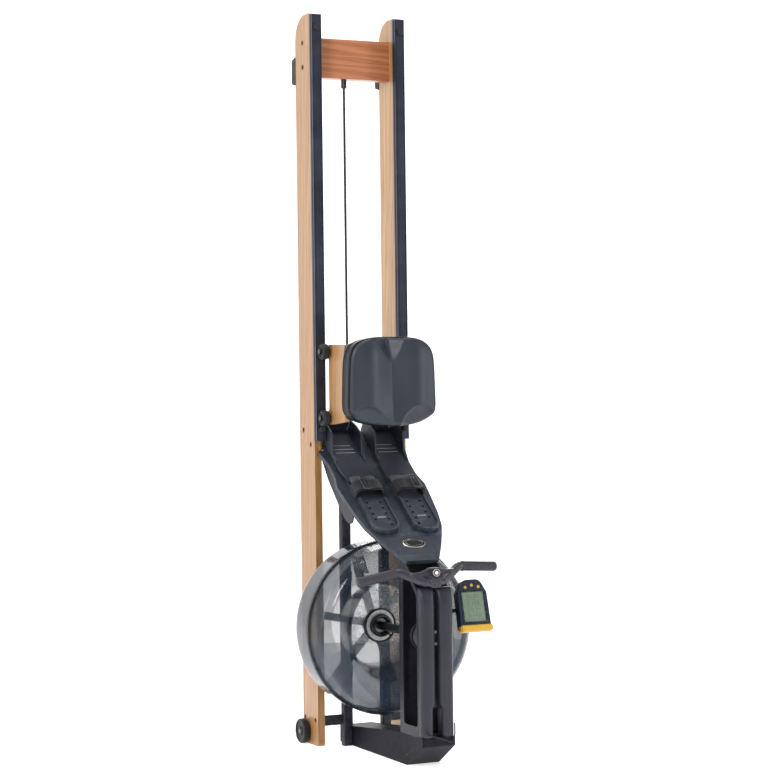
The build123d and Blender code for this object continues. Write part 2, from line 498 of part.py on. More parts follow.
# ---------------------------------------------- wire loop at the column's foot
wpts = [(-36, -489, 108), (-36, -494, 96), (38, -494, 70), (46, -489, 92), (46, -489, 122)]
wpath = FilletPolyline(*wpts, radius=5.0)
wd = (Vector(*wpts[1]) - Vector(*wpts[0])).normalized()
parts["wire_loop"] = sweep(Plane(origin=wpts[0], z_dir=wd) * Circle(2.0), path=wpath)

# ------------------------------------------------------------------- export
for name, shape in parts.items():
    moved = [Pos(0, Y_SHIFT, 0) * s for s in shape.solids()]
    export_step(moved[0] if len(moved) == 1 else Compound(moved), "parts/%s.step" % name)
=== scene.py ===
import bpy, bmesh, math
import numpy as np
from mathutils import Vector, Matrix, Quaternion, noise


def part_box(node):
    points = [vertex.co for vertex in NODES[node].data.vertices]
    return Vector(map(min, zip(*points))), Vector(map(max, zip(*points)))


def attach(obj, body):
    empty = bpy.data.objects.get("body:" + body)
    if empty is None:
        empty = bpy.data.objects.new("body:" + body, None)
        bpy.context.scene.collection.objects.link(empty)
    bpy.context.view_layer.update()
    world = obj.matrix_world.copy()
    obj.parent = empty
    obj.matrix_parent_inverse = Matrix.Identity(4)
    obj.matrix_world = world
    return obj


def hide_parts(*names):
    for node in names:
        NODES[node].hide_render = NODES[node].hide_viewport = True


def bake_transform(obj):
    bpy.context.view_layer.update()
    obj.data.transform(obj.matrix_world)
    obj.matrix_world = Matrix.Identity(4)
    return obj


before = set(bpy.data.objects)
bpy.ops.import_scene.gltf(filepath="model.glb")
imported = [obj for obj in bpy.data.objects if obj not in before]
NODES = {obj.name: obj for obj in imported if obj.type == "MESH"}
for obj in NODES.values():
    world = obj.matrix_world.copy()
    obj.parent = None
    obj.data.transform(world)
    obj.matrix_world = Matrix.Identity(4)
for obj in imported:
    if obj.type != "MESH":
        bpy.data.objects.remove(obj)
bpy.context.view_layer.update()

S = 0.178                      # the footprint's centre, behind the rails' front face
R25 = math.radians(25.0)
TANK_Z = 0.351
FB_A = math.radians(36.5)
scene = bpy.context.scene
col = scene.collection


# ============================================================ node helpers
class Mat:
    """A small wrapper that builds node materials."""

    def __init__(self, name, rough=0.5, metallic=0.0, **sockets):
        self.m = bpy.data.materials.new(name)
        self.m.use_nodes = True
        self.nt = self.m.node_tree
        self.nt.nodes.clear()
        self.out = self.nt.nodes.new("ShaderNodeOutputMaterial")
        self.p = self.nt.nodes.new("ShaderNodeBsdfPrincipled")
        self.nt.links.new(self.p.outputs["BSDF"], self.out.inputs["Surface"])
        self.p.inputs["Roughness"].default_value = rough
        self.p.inputs["Metallic"].default_value = metallic
        for k, v in sockets.items():
            self.p.inputs[k.replace("_", " ")].default_value = v
        self.coord = self.nt.nodes.new("ShaderNodeTexCoord")

    def node(self, kind, **props):
        n = self.nt.nodes.new(kind)
        for k, v in props.items():
            setattr(n, k, v)
        return n

    def link(self, a, b):
        self.nt.links.new(a, b)

    def mapping(self, scale=(1, 1, 1), rot=(0, 0, 0), loc=(0, 0, 0), src=None):
        mp = self.node("ShaderNodeMapping")
        mp.inputs["Scale"].default_value = scale
        mp.inputs["Rotation"].default_value = rot
        mp.inputs["Location"].default_value = loc
        self.link(src or self.coord.outputs["Object"], mp.inputs["Vector"])
        return mp.outputs["Vector"]

    def noise(self, vec, scale, detail=4, rough=0.55, distortion=0.0):
        n = self.node("ShaderNodeTexNoise")
        n.inputs["Scale"].default_value = scale
        n.inputs["Detail"].default_value = detail
        n.inputs["Roughness"].default_value = rough
        n.inputs["Distortion"].default_value = distortion
        self.link(vec, n.inputs["Vector"])
        return n.outputs["Fac"]

    def ramp(self, fac, stops):
        r = self.node("ShaderNodeValToRGB")
        el = r.color_ramp.elements
        while len(el) < len(stops):
            el.new(0.5)
        for e, (pos, c) in zip(el, stops):
            e.position = pos
            e.color = (*c, 1.0) if len(c) == 3 else c
        self.link(fac, r.inputs["Fac"])
        return r.outputs["Color"]

    def math(self, op, a, b=None, c=None):
        n = self.node("ShaderNodeMath", operation=op)
        for i, v in enumerate((a, b, c)):
            if v is None:
                continue
            if isinstance(v, (int, float)):
                n.inputs[i].default_value = v
            else:
                self.link(v, n.inputs[i])
        return n.outputs[0]

    def maprange(self, v, a, b, c, d):
        n = self.node("ShaderNodeMapRange")
        for i, x in zip((1, 2, 3, 4), (a, b, c, d)):
            n.inputs[i].default_value = x
        self.link(v, n.inputs[0])
        return n.outputs[0]

    def mix(self, fac, a, b, blend="MIX"):
        n = self.node("ShaderNodeMix", data_type="RGBA", blend_type=blend)
        for sock, v in ((n.inputs[0], fac), (n.inputs[6], a), (n.inputs[7], b)):
            if isinstance(v, (int, float)):
                sock.default_value = v
            elif isinstance(v, (tuple, list)):
                sock.default_value = (*v, 1.0) if len(v) == 3 else v
            else:
                self.link(v, sock)
        return n.outputs[2]

    def color(self, c):
        if isinstance(c, (tuple, list)):
            self.p.inputs["Base Color"].default_value = (*c, 1.0)
        else:
            self.link(c, self.p.inputs["Base Color"])

    def rough(self, v):
        self.link(v, self.p.inputs["Roughness"])

    def bump(self, height, strength=0.3, dist=0.001, prev=None):
        b = self.node("ShaderNodeBump")
        b.inputs["Strength"].default_value = strength
        b.inputs["Distance"].default_value = dist
        self.link(height, b.inputs["Height"])
        if prev is not None:
            self.link(prev, b.inputs["Normal"])
        return b.outputs["Normal"]

    def normal(self, n):
        self.link(n, self.p.inputs["Normal"])


def wood(name, light, mid, dark, axis="z", seed=0.0):
    """Lacquered open-grained board, grain along one axis."""
    m = Mat(name, rough=0.38, Coat_Weight=0.25, Coat_Roughness=0.25)
    sc = {"z": (1, 1, 0.055), "x": (0.055, 1, 1)}[axis]
    v = m.mapping(scale=sc, loc=(seed, seed * 0.7, seed * 1.3))
    warp = m.noise(v, 9.0, 3, 0.5)
    wv = m.node("ShaderNodeVectorMath", operation="MULTIPLY_ADD")
    comb = m.node("ShaderNodeCombineXYZ")
    for i in range(3):
        m.link(warp, comb.inputs[i])
    m.link(comb.outputs[0], wv.inputs[0])
    wv.inputs[1].default_value = (0.035, 0.035, 0.035)
    m.link(v, wv.inputs[2])
    wav = m.node("ShaderNodeTexWave", wave_type="BANDS", bands_direction="DIAGONAL", wave_profile="SIN")
    wav.inputs["Scale"].default_value = 26.0
    wav.inputs["Distortion"].default_value = 5.0
    wav.inputs["Detail"].default_value = 3.0
    wav.inputs["Detail Scale"].default_value = 1.6
    m.link(wv.outputs[0], wav.inputs["Vector"])
    fine = m.mapping(scale={"z": (1, 1, 0.012), "x": (0.012, 1, 1)}[axis], loc=(seed, 0, 0))
    fib = m.noise(fine, 900.0, 3, 0.6)
    pores = m.noise(fine, 420.0, 2, 0.5)
    base = m.ramp(wav.outputs["Fac"], [(0.0, light), (0.45, mid), (0.8, dark), (1.0, mid)])
    broad = m.noise(m.mapping(scale={"z": (1, 1, 0.3), "x": (0.3, 1, 1)}[axis]), 6.0, 2)
    base = m.mix(m.maprange(broad, 0.3, 0.7, 0.0, 0.45), base, mid)
    fibc = m.ramp(fib, [(0.25, (0.74, 0.70, 0.66)), (0.6, (1, 1, 1))])
    base = m.mix(0.55, base, fibc, "MULTIPLY")
    porec = m.ramp(pores, [(0.28, (0.45, 0.36, 0.30)), (0.36, (1, 1, 1))])
    base = m.mix(0.5, base, porec, "MULTIPLY")
    m.color(base)
    m.rough(m.maprange(fib, 0.2, 0.8, 0.46, 0.32))
    n = m.bump(pores, 0.18, 0.0004)
    n = m.bump(fib, 0.10, 0.0003, n)
    m.normal(n)
    return m.m


def plastic(name, c0, c1, rough=0.45, grain=900.0, strength=0.12, dist=0.0003, wear_and_edge_highlight=0.0, **sockets):
    """Moulded or coated surface: fine texture, slight tone change, lighter edges that are partly wear and partly a
    painted edge highlight.
    """
    m = Mat(name, rough=rough, **sockets)
    v = m.mapping()
    broad = m.noise(v, 7.0, 3)
    mid = m.noise(v, 60.0, 3)
    c = m.mix(m.maprange(broad, 0.3, 0.7, 0.0, 1.0), c0, c1)
    # lighter convex edges: partly edge wear, partly a painted highlight on the edges
    if wear_and_edge_highlight > 0:
        geo = m.node("ShaderNodeNewGeometry")
        edge = m.maprange(geo.outputs["Pointiness"], 0.515, 0.56, 0.0, wear_and_edge_highlight)
        speck = m.math("MULTIPLY", edge, m.maprange(mid, 0.4, 0.65, 0.2, 1.0))
        c = m.mix(speck, c, tuple(min(1.0, x * 2.6 + 0.03) for x in c1))
    m.color(c)
    m.rough(m.maprange(mid, 0.3, 0.7, rough - 0.05, rough + 0.07))
    g = m.noise(v, grain, 2, 0.6)
    m.normal(m.bump(g, strength, dist))
    return m.m


def metal(name, c0, c1, rough=0.3, brush=(1, 1, 0.02), scale=600.0, strength=0.06, metallic=1.0):
    m = Mat(name, rough=rough, metallic=metallic)
    v = m.mapping(scale=brush)
    g = m.noise(v, scale, 3, 0.6)
    broad = m.noise(m.mapping(), 12.0, 2)
    m.color(m.mix(m.maprange(broad, 0.3, 0.7, 0, 1), c0, c1))
    m.rough(m.maprange(g, 0.2, 0.8, rough - 0.07, rough + 0.09))
    m.normal(m.bump(g, strength, 0.0002))
    return m.m


def weave(name, c0, c1, scale=700.0, dirs=("X", "Z"), rough=0.75, **sockets):
    """Webbing: two crossed band textures."""
    m = Mat(name, rough=rough, **sockets)
    v = m.mapping()
    hs = []
    for d in dirs:
        w = m.node("ShaderNodeTexWave", wave_type="BANDS", bands_direction=d, wave_profile="SIN")
        w.inputs["Scale"].default_value = scale / (2 * math.pi)
        m.link(v, w.inputs["Vector"])
        hs.append(w.outputs["Fac"])
    h = m.math("MULTIPLY", hs[0], hs[1])
    m.color(m.mix(h, c0, c1))
    m.rough(m.maprange(m.noise(v, 40, 2), 0.3, 0.7, rough - 0.06, rough + 0.08))
    m.normal(m.bump(h, 0.5, 0.0005))
    return m.m


M = {}
M["rail"] = wood("rail_wood", (0.375, 0.202, 0.074), (0.335, 0.165, 0.054), (0.240, 0.102, 0.028), "z")
M["rail2"] = wood("rail_wood_b", (0.445, 0.260, 0.106), (0.395, 0.215, 0.078), (0.29, 0.138, 0.042), "z", 3.7)
M["panel"] = wood("panel_wood", (0.395, 0.215, 0.092), (0.352, 0.182, 0.072), (0.275, 0.127, 0.047), "z", 8.1)
M["bar"] = wood("crossbar_wood", (0.42, 0.165, 0.070), (0.34, 0.122, 0.049), (0.235, 0.078, 0.029), "x", 5.2)
DULL = dict(Specular_IOR_Level=0.32)
M["track"] = metal("anodised_track", (0.030, 0.033, 0.050), (0.052, 0.057, 0.080), 0.36, (1, 1, 0.004), 700.0, 0.05, 0.8)
M["steel"] = plastic("black_powder_coat", (0.0088, 0.0088, 0.0132), (0.0140, 0.0140, 0.0205), 0.42, 1400.0, 0.22, 0.00025, 0.35, Specular_IOR_Level=0.27)
M["cover"] = plastic("moulded_black", (0.0110, 0.0118, 0.0190), (0.0170, 0.0182, 0.0285), 0.38, 1600.0, 0.16, 0.0003, 0.35, Specular_IOR_Level=0.42)
M["board"] = plastic("footboard_black", (0.0170, 0.0205, 0.0310), (0.0245, 0.0295, 0.0430), 0.46, 1700.0, 0.2, 0.0003, 0.5, **DULL)
M["base"] = plastic("base_powder_coat", (0.0038, 0.0038, 0.0072), (0.0065, 0.0065, 0.0110), 0.50, 1400.0, 0.22, 0.00025, 0.35, Specular_IOR_Level=0.09)
M["rubber"] = plastic("black_rubber", (0.010, 0.010, 0.012), (0.016, 0.016, 0.019), 0.55, 700.0, 0.25, 0.0004, 0.1, **DULL)
M["bolt"] = metal("black_bolt", (0.030, 0.027, 0.027), (0.060, 0.052, 0.050), 0.38, (1, 1, 1), 300.0, 0.1)
M["zinc"] = metal("dull_steel", (0.10, 0.10, 0.105), (0.15, 0.15, 0.155), 0.32, (1, 0.05, 1), 900.0, 0.05)
M["shaft"] = metal("dark_shaft", (0.030, 0.030, 0.036), (0.060, 0.060, 0.068), 0.30, (1, 0.05, 1), 900.0, 0.05)
M["grip"] = plastic("grip_rubber", (0.026, 0.024, 0.031), (0.038, 0.036, 0.045), 0.50, 420.0, 0.35, 0.0006, 0.1, **DULL)
M["bar_tube"] = plastic("handle_tube", (0.022, 0.020, 0.029), (0.034, 0.031, 0.043), 0.33, 900.0, 0.1, 0.0002, 0.3, Specular_IOR_Level=0.45)
M["cord"] = weave("braided_cord", (0.008, 0.008, 0.010), (0.045, 0.045, 0.052), 2200.0, ("DIAGONAL", "Z"), 0.7, Sheen_Weight=0.1, Specular_IOR_Level=0.3)
M["web"] = weave("webbing", (0.006, 0.006, 0.009), (0.024, 0.026, 0.035), 1900.0, ("X", "DIAGONAL"), 0.62, Sheen_Weight=0.12, Specular_IOR_Level=0.3)
# painted highlight: a lighter copy of the webbing for the folded pad, standing in for light on that band
M["flap"] = weave("webbing_painted_highlight", (0.030, 0.032, 0.040), (0.085, 0.090, 0.105), 1900.0, ("X", "DIAGONAL"), 0.6, Sheen_Weight=0.2, Specular_IOR_Level=0.35)
M["selector"] = plastic("selector_gloss", (0.004, 0.0045, 0.004), (0.009, 0.010, 0.009), 0.18, 300.0, 0.05, 0.0002, 0.4)
M["scale"] = plastic("scale_grey", (0.80, 0.82, 0.84), (0.88, 0.90, 0.92), 0.35, 500.0, 0.06, 0.0002)
M["monitor"] = plastic("monitor_navy", (0.0045, 0.012, 0.026), (0.008, 0.018, 0.035), 0.34, 1300.0, 0.12, 0.0002, 0.25, Specular_IOR_Level=0.4)
M["yellow"] = plastic("yellow_rubber", (0.48, 0.27, 0.015), (0.58, 0.34, 0.03), 0.45, 900.0, 0.12, 0.0002)
M["line"] = plastic("pale_inlay", (0.16, 0.17, 0.20), (0.24, 0.25, 0.28), 0.4, 700.0, 0.05, 0.0002)


def smoked(name, c0, c1, alpha, rough=0.12):
    m = Mat(name, rough=rough, Alpha=alpha, IOR=1.5, Specular_IOR_Level=0.6)
    v = m.mapping()
    m.color(m.mix(m.maprange(m.noise(v, 14.0, 3), 0.3, 0.7, 0, 1), c0, c1))
    m.rough(m.maprange(m.noise(v, 90.0, 2), 0.3, 0.7, rough, rough + 0.1))
    m.normal(m.bump(m.noise(v, 60.0, 2), 0.08, 0.001))
    return m.m


M["impeller"] = smoked("impeller_smoked", (0.012, 0.017, 0.022), (0.026, 0.034, 0.042), 0.62)


def lcd():
    m = Mat("lcd_grey_green", rough=0.16, Coat_Weight=0.6, Coat_Roughness=0.05)
    v = m.mapping()
    w = m.node("ShaderNodeTexWave", wave_type="BANDS", bands_direction="Z")
    w.inputs["Scale"].default_value = 190.0
    m.link(v, w.inputs["Vector"])
    n = m.noise(v, 14.0, 2)
    c = m.mix(m.maprange(n, 0.3, 0.7, 0, 1), (0.135, 0.19, 0.135), (0.185, 0.25, 0.18))
    c = m.mix(m.maprange(w.outputs["Fac"], 0.0, 1.0, 0.0, 0.12), c, (0.08, 0.11, 0.08))
    m.color(c)
    return m.m


M["lcd"] = lcd()


def clear(name, tint, rough=0.05):
    """Smoked clear shell: see-through face on, darker and glossier at a slant."""
    m = Mat(name, rough=rough, IOR=1.5, Specular_IOR_Level=0.48, Coat_Weight=0.15, Coat_Roughness=0.03)
    v = m.mapping()
    n = m.noise(v, 9.0, 3)
    lw = m.node("ShaderNodeLayerWeight")
    lw.inputs["Blend"].default_value = 0.45
    see_wall = m.maprange(m.math("POWER", lw.outputs["Facing"], 1.7), 0.0, 1.0, 0.34, 0.86)
    see_disc = m.maprange(lw.outputs["Facing"], 0.0, 1.0, 0.09, 0.92)
    sep = m.node("ShaderNodeSeparateXYZ")
    m.link(m.coord.outputs["Object"], sep.inputs[0])
    dz = m.math("SUBTRACT", sep.outputs[2], TANK_Z)
    rad = m.math("SQRT", m.math("ADD", m.math("MULTIPLY", sep.outputs[0], sep.outputs[0]), m.math("MULTIPLY", dz, dz)))
    inside = m.maprange(rad, 0.114, 0.119, 1.0, 0.0)
    see = m.math("ADD", see_wall, m.math("MULTIPLY", inside, m.math("SUBTRACT", see_disc, see_wall)))
    above = m.maprange(sep.outputs[2], 0.297, 0.303, 0.0, 1.0)
    front = m.maprange(sep.outputs[1], 0.076, 0.080, 1.0, 0.0)
    mist = m.math("MULTIPLY", m.math("MULTIPLY", inside, above), front)
    vor = m.node("ShaderNodeTexVoronoi", feature="F1")
    vor.inputs["Scale"].default_value = 260.0
    m.link(v, vor.inputs["Vector"])
    drops = m.maprange(vor.outputs["Distance"], 0.25, 0.55, 1.0, 0.82)
    fog = m.math("MULTIPLY", mist, m.math("MULTIPLY", drops, m.maprange(m.noise(v, 40.0, 3), 0.3, 0.7, 0.55, 1.0)))
    m.color(m.mix(fog, m.mix(m.maprange(n, 0.3, 0.7, 0, 1), tint, tuple(x * 0.7 for x in tint)), (0.46, 0.50, 0.54)))
    m.link(m.math("MAXIMUM", see, m.math("MULTIPLY", fog, 0.62)), m.p.inputs["Alpha"])
    s_ = m.noise(v, 130.0, 2)
    m.rough(m.maprange(s_, 0.3, 0.7, rough, rough + 0.05))
    m.normal(m.bump(m.noise(v, 16.0, 2), 0.10, 0.002))
    return m.m


M["tank"] = clear("smoked_clear", (0.026, 0.038, 0.056))


# ============================================================ paint CAD nodes
PAINT = {
    "rail": ["left_rail"], "rail2": ["right_rail"], "panel": ["carriage_panels"], "bar": ["rear_crossbar"],
    "track": ["seat_tracks"],
    "bolt": ["rail_bolts", "tank_screws", "pulley_pins", "roller_axles", "bungee_hook"],
    "zinc": ["shaft_bearings", "one_way_clutch", "wheel_axles"],
    "shaft": ["main_shaft"],
    "steel": ["frame_tubes", "rail_brackets", "column_channel", "column_front_plate", "footboard_side_plates", "tank_brackets", "wire_loop", "monitor_arm"],
    "cover": ["column_covers", "seat_base", "drive_spool", "guide_roller", "bungee_pulley_rear", "bungee_pulley_front", "upper_rollers", "lower_rollers", "strap_buckles"],
    "board": ["footboard", "toe_plates", "left_heel_plate", "right_heel_plate"],
    "base": ["base_arm"],
    "rubber": ["track_stops", "rear_feet", "tank_seal", "transport_wheel_left", "transport_wheel_right"],
    "grip": ["handle_grips"], "bar_tube": ["handle_bar", "handle_yoke"],
    "cord": ["bungee_cord"], "web": ["strap_inner_run", "drive_strap", "foot_straps"],
    "selector": ["selector_knob", "footboard_badge"], "scale": ["selector_scale_ring"],
    "impeller": ["impeller"], "tank": ["tank_back_shell", "tank_front_shell"],
    "monitor": ["monitor_housing"], "lcd": ["monitor_screen"],
    "yellow": ["monitor_key_1", "monitor_key_2", "monitor_key_3"],
    "seat": ["seat_cushion"],
}


def seat_skin(name, k, spec=0.40):
    m = Mat(name, rough=0.42, Specular_IOR_Level=spec)
    v = m.mapping()
    vor = m.node("ShaderNodeTexVoronoi", feature="SMOOTH_F1")
    vor.inputs["Scale"].default_value = 620.0
    vor.inputs["Smoothness"].default_value = 0.6
    m.link(v, vor.inputs["Vector"])
    g = m.noise(v, 1500.0, 2, 0.6)
    broad = m.noise(v, 8.0, 3)
    c = m.mix(m.maprange(broad, 0.3, 0.7, 0, 1), (0.024 * k, 0.030 * k, 0.044 * k), (0.032 * k, 0.039 * k, 0.056 * k))
    c = m.mix(m.maprange(vor.outputs["Distance"], 0.0, 0.6, 0.25, 0.0), c, (0.018 * k, 0.020 * k, 0.027 * k))
    m.color(c)
    m.rough(m.maprange(g, 0.3, 0.7, 0.37, 0.48))
    n = m.bump(vor.outputs["Distance"], 0.22, 0.0004)
    m.normal(m.bump(g, 0.15, 0.0002, n))
    return m.m


M["seat"] = seat_skin("seat_skin", 0.72)
# painted shade: a darker copy of the seat skin for the side band, standing in for shade on the sides
M["seat_side"] = seat_skin("seat_skin_painted_shade", 0.16, 0.12)

for key, names in PAINT.items():
    for n in names:
        o = NODES[n]
        if not o.material_slots:
            o.data.materials.append(M[key])
        for s in o.material_slots:
            s.material = M[key]

# rounded edges on the carried-over parts
SOFT = {"left_rail": 0.0018, "right_rail": 0.0018, "carriage_panels": 0.002, "seat_tracks": 0.0006, "base_arm": 0.0022, "column_channel": 0.001,
        "frame_tubes": 0.0, "footboard_side_plates": 0.0008, "rail_brackets": 0.0008, "rear_feet": 0.0025, "toe_plates": 0.0012,
        "left_heel_plate": 0.0012, "right_heel_plate": 0.0012, "handle_yoke": 0.0012, "monitor_housing": 0.0015, "strap_buckles": 0.0008,
        "column_covers": 0.002, "footboard": 0.0015, "tank_brackets": 0.001, "seat_base": 0.002, "selector_knob": 0.0006, "impeller": 0.0006,
        "foot_straps": 0.0004}


def soften(o, width, seg=2, angle=32):
    w = o.modifiers.new("weld", "WELD")
    w.merge_threshold = 0.00001
    if width > 0:
        b = o.modifiers.new("bevel", "BEVEL")
        b.width = width
        b.segments = seg
        b.limit_method = "ANGLE"
        b.angle_limit = math.radians(angle)
        b.use_clamp_overlap = True
        b.harden_normals = False
        b.miter_outer = "MITER_ARC"


# ============================================================ camera, light
K = 1.0345
cam_data = bpy.data.cameras.new("camera")
cam = bpy.data.objects.new("camera", cam_data)
col.objects.link(cam)
cam_data.sensor_width = 36.0
cam_data.lens = 100.03
cam_data.clip_start, cam_data.clip_end = 0.05, 60.0
cam.location = (-2.457 * K, -5.428 * K + S, 1.0006 * K)
look = Vector((math.sin(R25), math.cos(R25), 0.0))
q = look.to_track_quat("-Z", "Y")
cam.rotation_mode = "QUATERNION"
cam.rotation_quaternion = q @ Quaternion((0, 0, 1), math.radians(-0.72))
scene.camera = cam
scene.view_settings.view_transform = "Standard"

world = bpy.data.worlds.new("studio")
scene.world = world
world.use_nodes = True
bg = world.node_tree.nodes["Background"]
bg.inputs["Color"].default_value = (1, 1, 1, 1)
bg.inputs["Strength"].default_value = 0.36


def area(name, loc, target, size, power, color=(1, 1, 1)):
    d = bpy.data.lights.new(name, "AREA")
    d.shape = "RECTANGLE"
    d.size, d.size_y = size
    d.energy = power
    d.color = color
    o = bpy.data.objects.new(name, d)
    col.objects.link(o)
    o.location = loc
    o.rotation_mode = "QUATERNION"
    o.rotation_quaternion = (Vector(target) - Vector(loc)).to_track_quat("-Z", "Y")
    return o


area("key", (-3.3, -3.0, 3.3), (0, 0, 0.9), (1.1, 2.4), 150)
area("fill", (3.4, -2.9, 1.7), (0, 0, 0.9), (0.9, 2.6), 52)
area("top", (0.2, -0.6, 4.6), (0, 0, 0.6), (2.4, 1.4), 58)
area("rim", (1.4, 2.9, 2.6), (0, 0, 1.0), (1.4, 2.2), 50)
area("side", (-3.6, 1.1, 1.5), (0, 0, 0.9), (0.8, 2.4), 30)


def floor():
    me = bpy.data.meshes.new("floor")
    bm = bmesh.new()
    # flat ground that curves up into a backdrop behind the object
    prof = [(-9.0, 0.0), (3.2, 0.0)]
    for k in range(1, 13):
        a = math.pi / 2 * k / 12
        prof.append((3.2 + 1.6 * math.sin(a), 1.6 - 1.6 * math.cos(a)))
    prof.append((4.8, 7.0))
    rows = []
    for (y, z) in prof:
        rows.append([bm.verts.new((x, y, z)) for x in (-12, 12)])
    for a, b in zip(rows, rows[1:]):
        bm.faces.new((a[0], a[1], b[1], b[0]))
    bm.to_mesh(me)
    bm.free()
    for p in me.polygons:
        p.use_smooth = True
    o = bpy.data.objects.new("floor", me)
    col.objects.link(o)
    m = Mat("floor_pale", rough=0.85)
    m.color(m.mix(m.maprange(m.noise(m.mapping(), 3.0, 2), 0.3, 0.7, 0, 1), (0.93, 0.93, 0.935), (0.95, 0.95, 0.955)))
    m.p.inputs["Emission Color"].default_value = (1, 1, 1, 1)
    m.p.inputs["Emission Strength"].default_value = 0.60
    me.materials.append(m.m)


floor()

# ============================================================ mesh helpers
def W(x, y, z):
    """Drawing millimetres, Y from the rails' front face, to the frame."""
    return Vector((x / 1000, y / 1000 + S, z / 1000))


def smooth(a, b, v):
    t = min(1.0, max(0.0, (v - a) / (b - a)))
    return t * t * (3 - 2 * t)


def done(name, bm, mat, body="root", replaces=(), angle=38, merge=2e-6, ride=True):
    if merge:
        bmesh.ops.remove_doubles(bm, verts=bm.verts, dist=merge)
    bmesh.ops.recalc_face_normals(bm, faces=bm.faces)
    me = bpy.data.meshes.new(name)
    bm.to_mesh(me)
    bm.free()
    for p in me.polygons:
        p.use_smooth = True
    me.set_sharp_from_angle(angle=math.radians(angle))
    me.materials.append(mat)
    o = bpy.data.objects.new(name, me)
    col.objects.link(o)
    if ride:
        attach(o, body)
    if replaces:
        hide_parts(*replaces)
    return o


def rounded(pts, seg=6, closed=True):
    """Outline through (a, b, radius) corners with each corner rounded."""
    out = []
    n = len(pts)
    for i, c in enumerate(pts):
        p = Vector(c[:2])
        r = c[2] if len(c) > 2 else 0
        if r <= 0 or (not closed and i in (0, n - 1)):
            out.append(p)
            continue
        a, b = Vector(pts[i - 1][:2]), Vector(pts[(i + 1) % n][:2])
        u, w = (a - p).normalized(), (b - p).normalized()
        half = math.acos(max(-1.0, min(1.0, u.dot(w)))) / 2
        if half > math.radians(88.5):
            out.append(p)
            continue
        d = min(r / math.tan(half), (a - p).length * 0.499, (b - p).length * 0.499)
        r2 = d * math.tan(half)
        c0 = p + (u + w).normalized() * (r2 / math.sin(half))
        t1, t2 = p + u * d - c0, p + w * d - c0
        a1, a2 = math.atan2(t1.y, t1.x), math.atan2(t2.y, t2.x)
        da = (a2 - a1 + math.pi) % (2 * math.pi) - math.pi
        for k in range(seg + 1):
            t = a1 + da * k / seg
            out.append(c0 + Vector((math.cos(t), math.sin(t))) * r2)
    return out


def skin(bm, rings, closed_path=False, caps=True):
    """Faces between rings of equal length."""
    m = len(rings)
    for i in range(m if closed_path else m - 1):
        A, B = rings[i], rings[(i + 1) % m]
        n = len(A)
        for k in range(n):
            f = (A[k], A[(k + 1) % n], B[(k + 1) % n], B[k])
            if len(set(f)) >= 3:
                bm.faces.new(f)
    if caps and not closed_path:
        bm.faces.new(rings[0])
        bm.faces.new(rings[-1][::-1])


def lathe(bm, pts, origin, axis="y", n=128, closed=True, phase=0.0):
    """Turns (radius, along) millimetre points about an axis through origin."""
    rings = []
    for (r, a) in pts:
        r, a = r / 1000, a / 1000
        ring = []
        for k in range(1 if r < 1e-6 else n):
            t = 2 * math.pi * k / n + phase
            c, s = r * math.cos(t), r * math.sin(t)
            v = {"y": (c, a, s), "x": (a, c, s), "z": (c, s, a)}[axis]
            ring.append(bm.verts.new(Vector(v) + origin))
        rings.append(ring)
    m = len(rings)
    for i in range(m if closed else m - 1):
        A, B = rings[i], rings[(i + 1) % m]
        if len(A) == 1 and len(B) == 1:
            continue
        for k in range(n):
            k2 = (k + 1) % n
            if len(A) == 1:
                bm.faces.new((A[0], B[k], B[k2]))
            elif len(B) == 1:
                bm.faces.new((A[k], A[k2], B[0]))
            else:
                bm.faces.new((A[k], A[k2], B[k2], B[k]))


def frames(path, side):
    out = []
    s = Vector(side)
    n = len(path)
    for i in range(n):
        t = (path[min(i + 1, n - 1)] - path[max(i - 1, 0)]).normalized()
        s = (s - t * s.dot(t)).normalized()
        out.append((path[i], t, s.copy(), t.cross(s)))
    return out


def sweep(bm, path, section, side, scale=None, caps=True):
    """Carries a closed (a, b) section in metres along a path; a is along side."""
    rings = []
    fr = frames(path, side)
    for i, (p, t, s, b) in enumerate(fr):
        k = scale(i / (len(fr) - 1)) if scale else 1.0
        rings.append([bm.verts.new(p + s * (q[0] * k) + b * (q[1] * k)) for q in section])
    skin(bm, rings, caps=caps)


def circle(r, n=24):
    return [(r * math.cos(2 * math.pi * k / n), r * math.sin(2 * math.pi * k / n)) for k in range(n)]


def rrect(w, h, r, seg=4):
    return [(p.x, p.y) for p in rounded([(-w / 2, -h / 2, r), (w / 2, -h / 2, r), (w / 2, h / 2, r), (-w / 2, h / 2, r)], seg)]


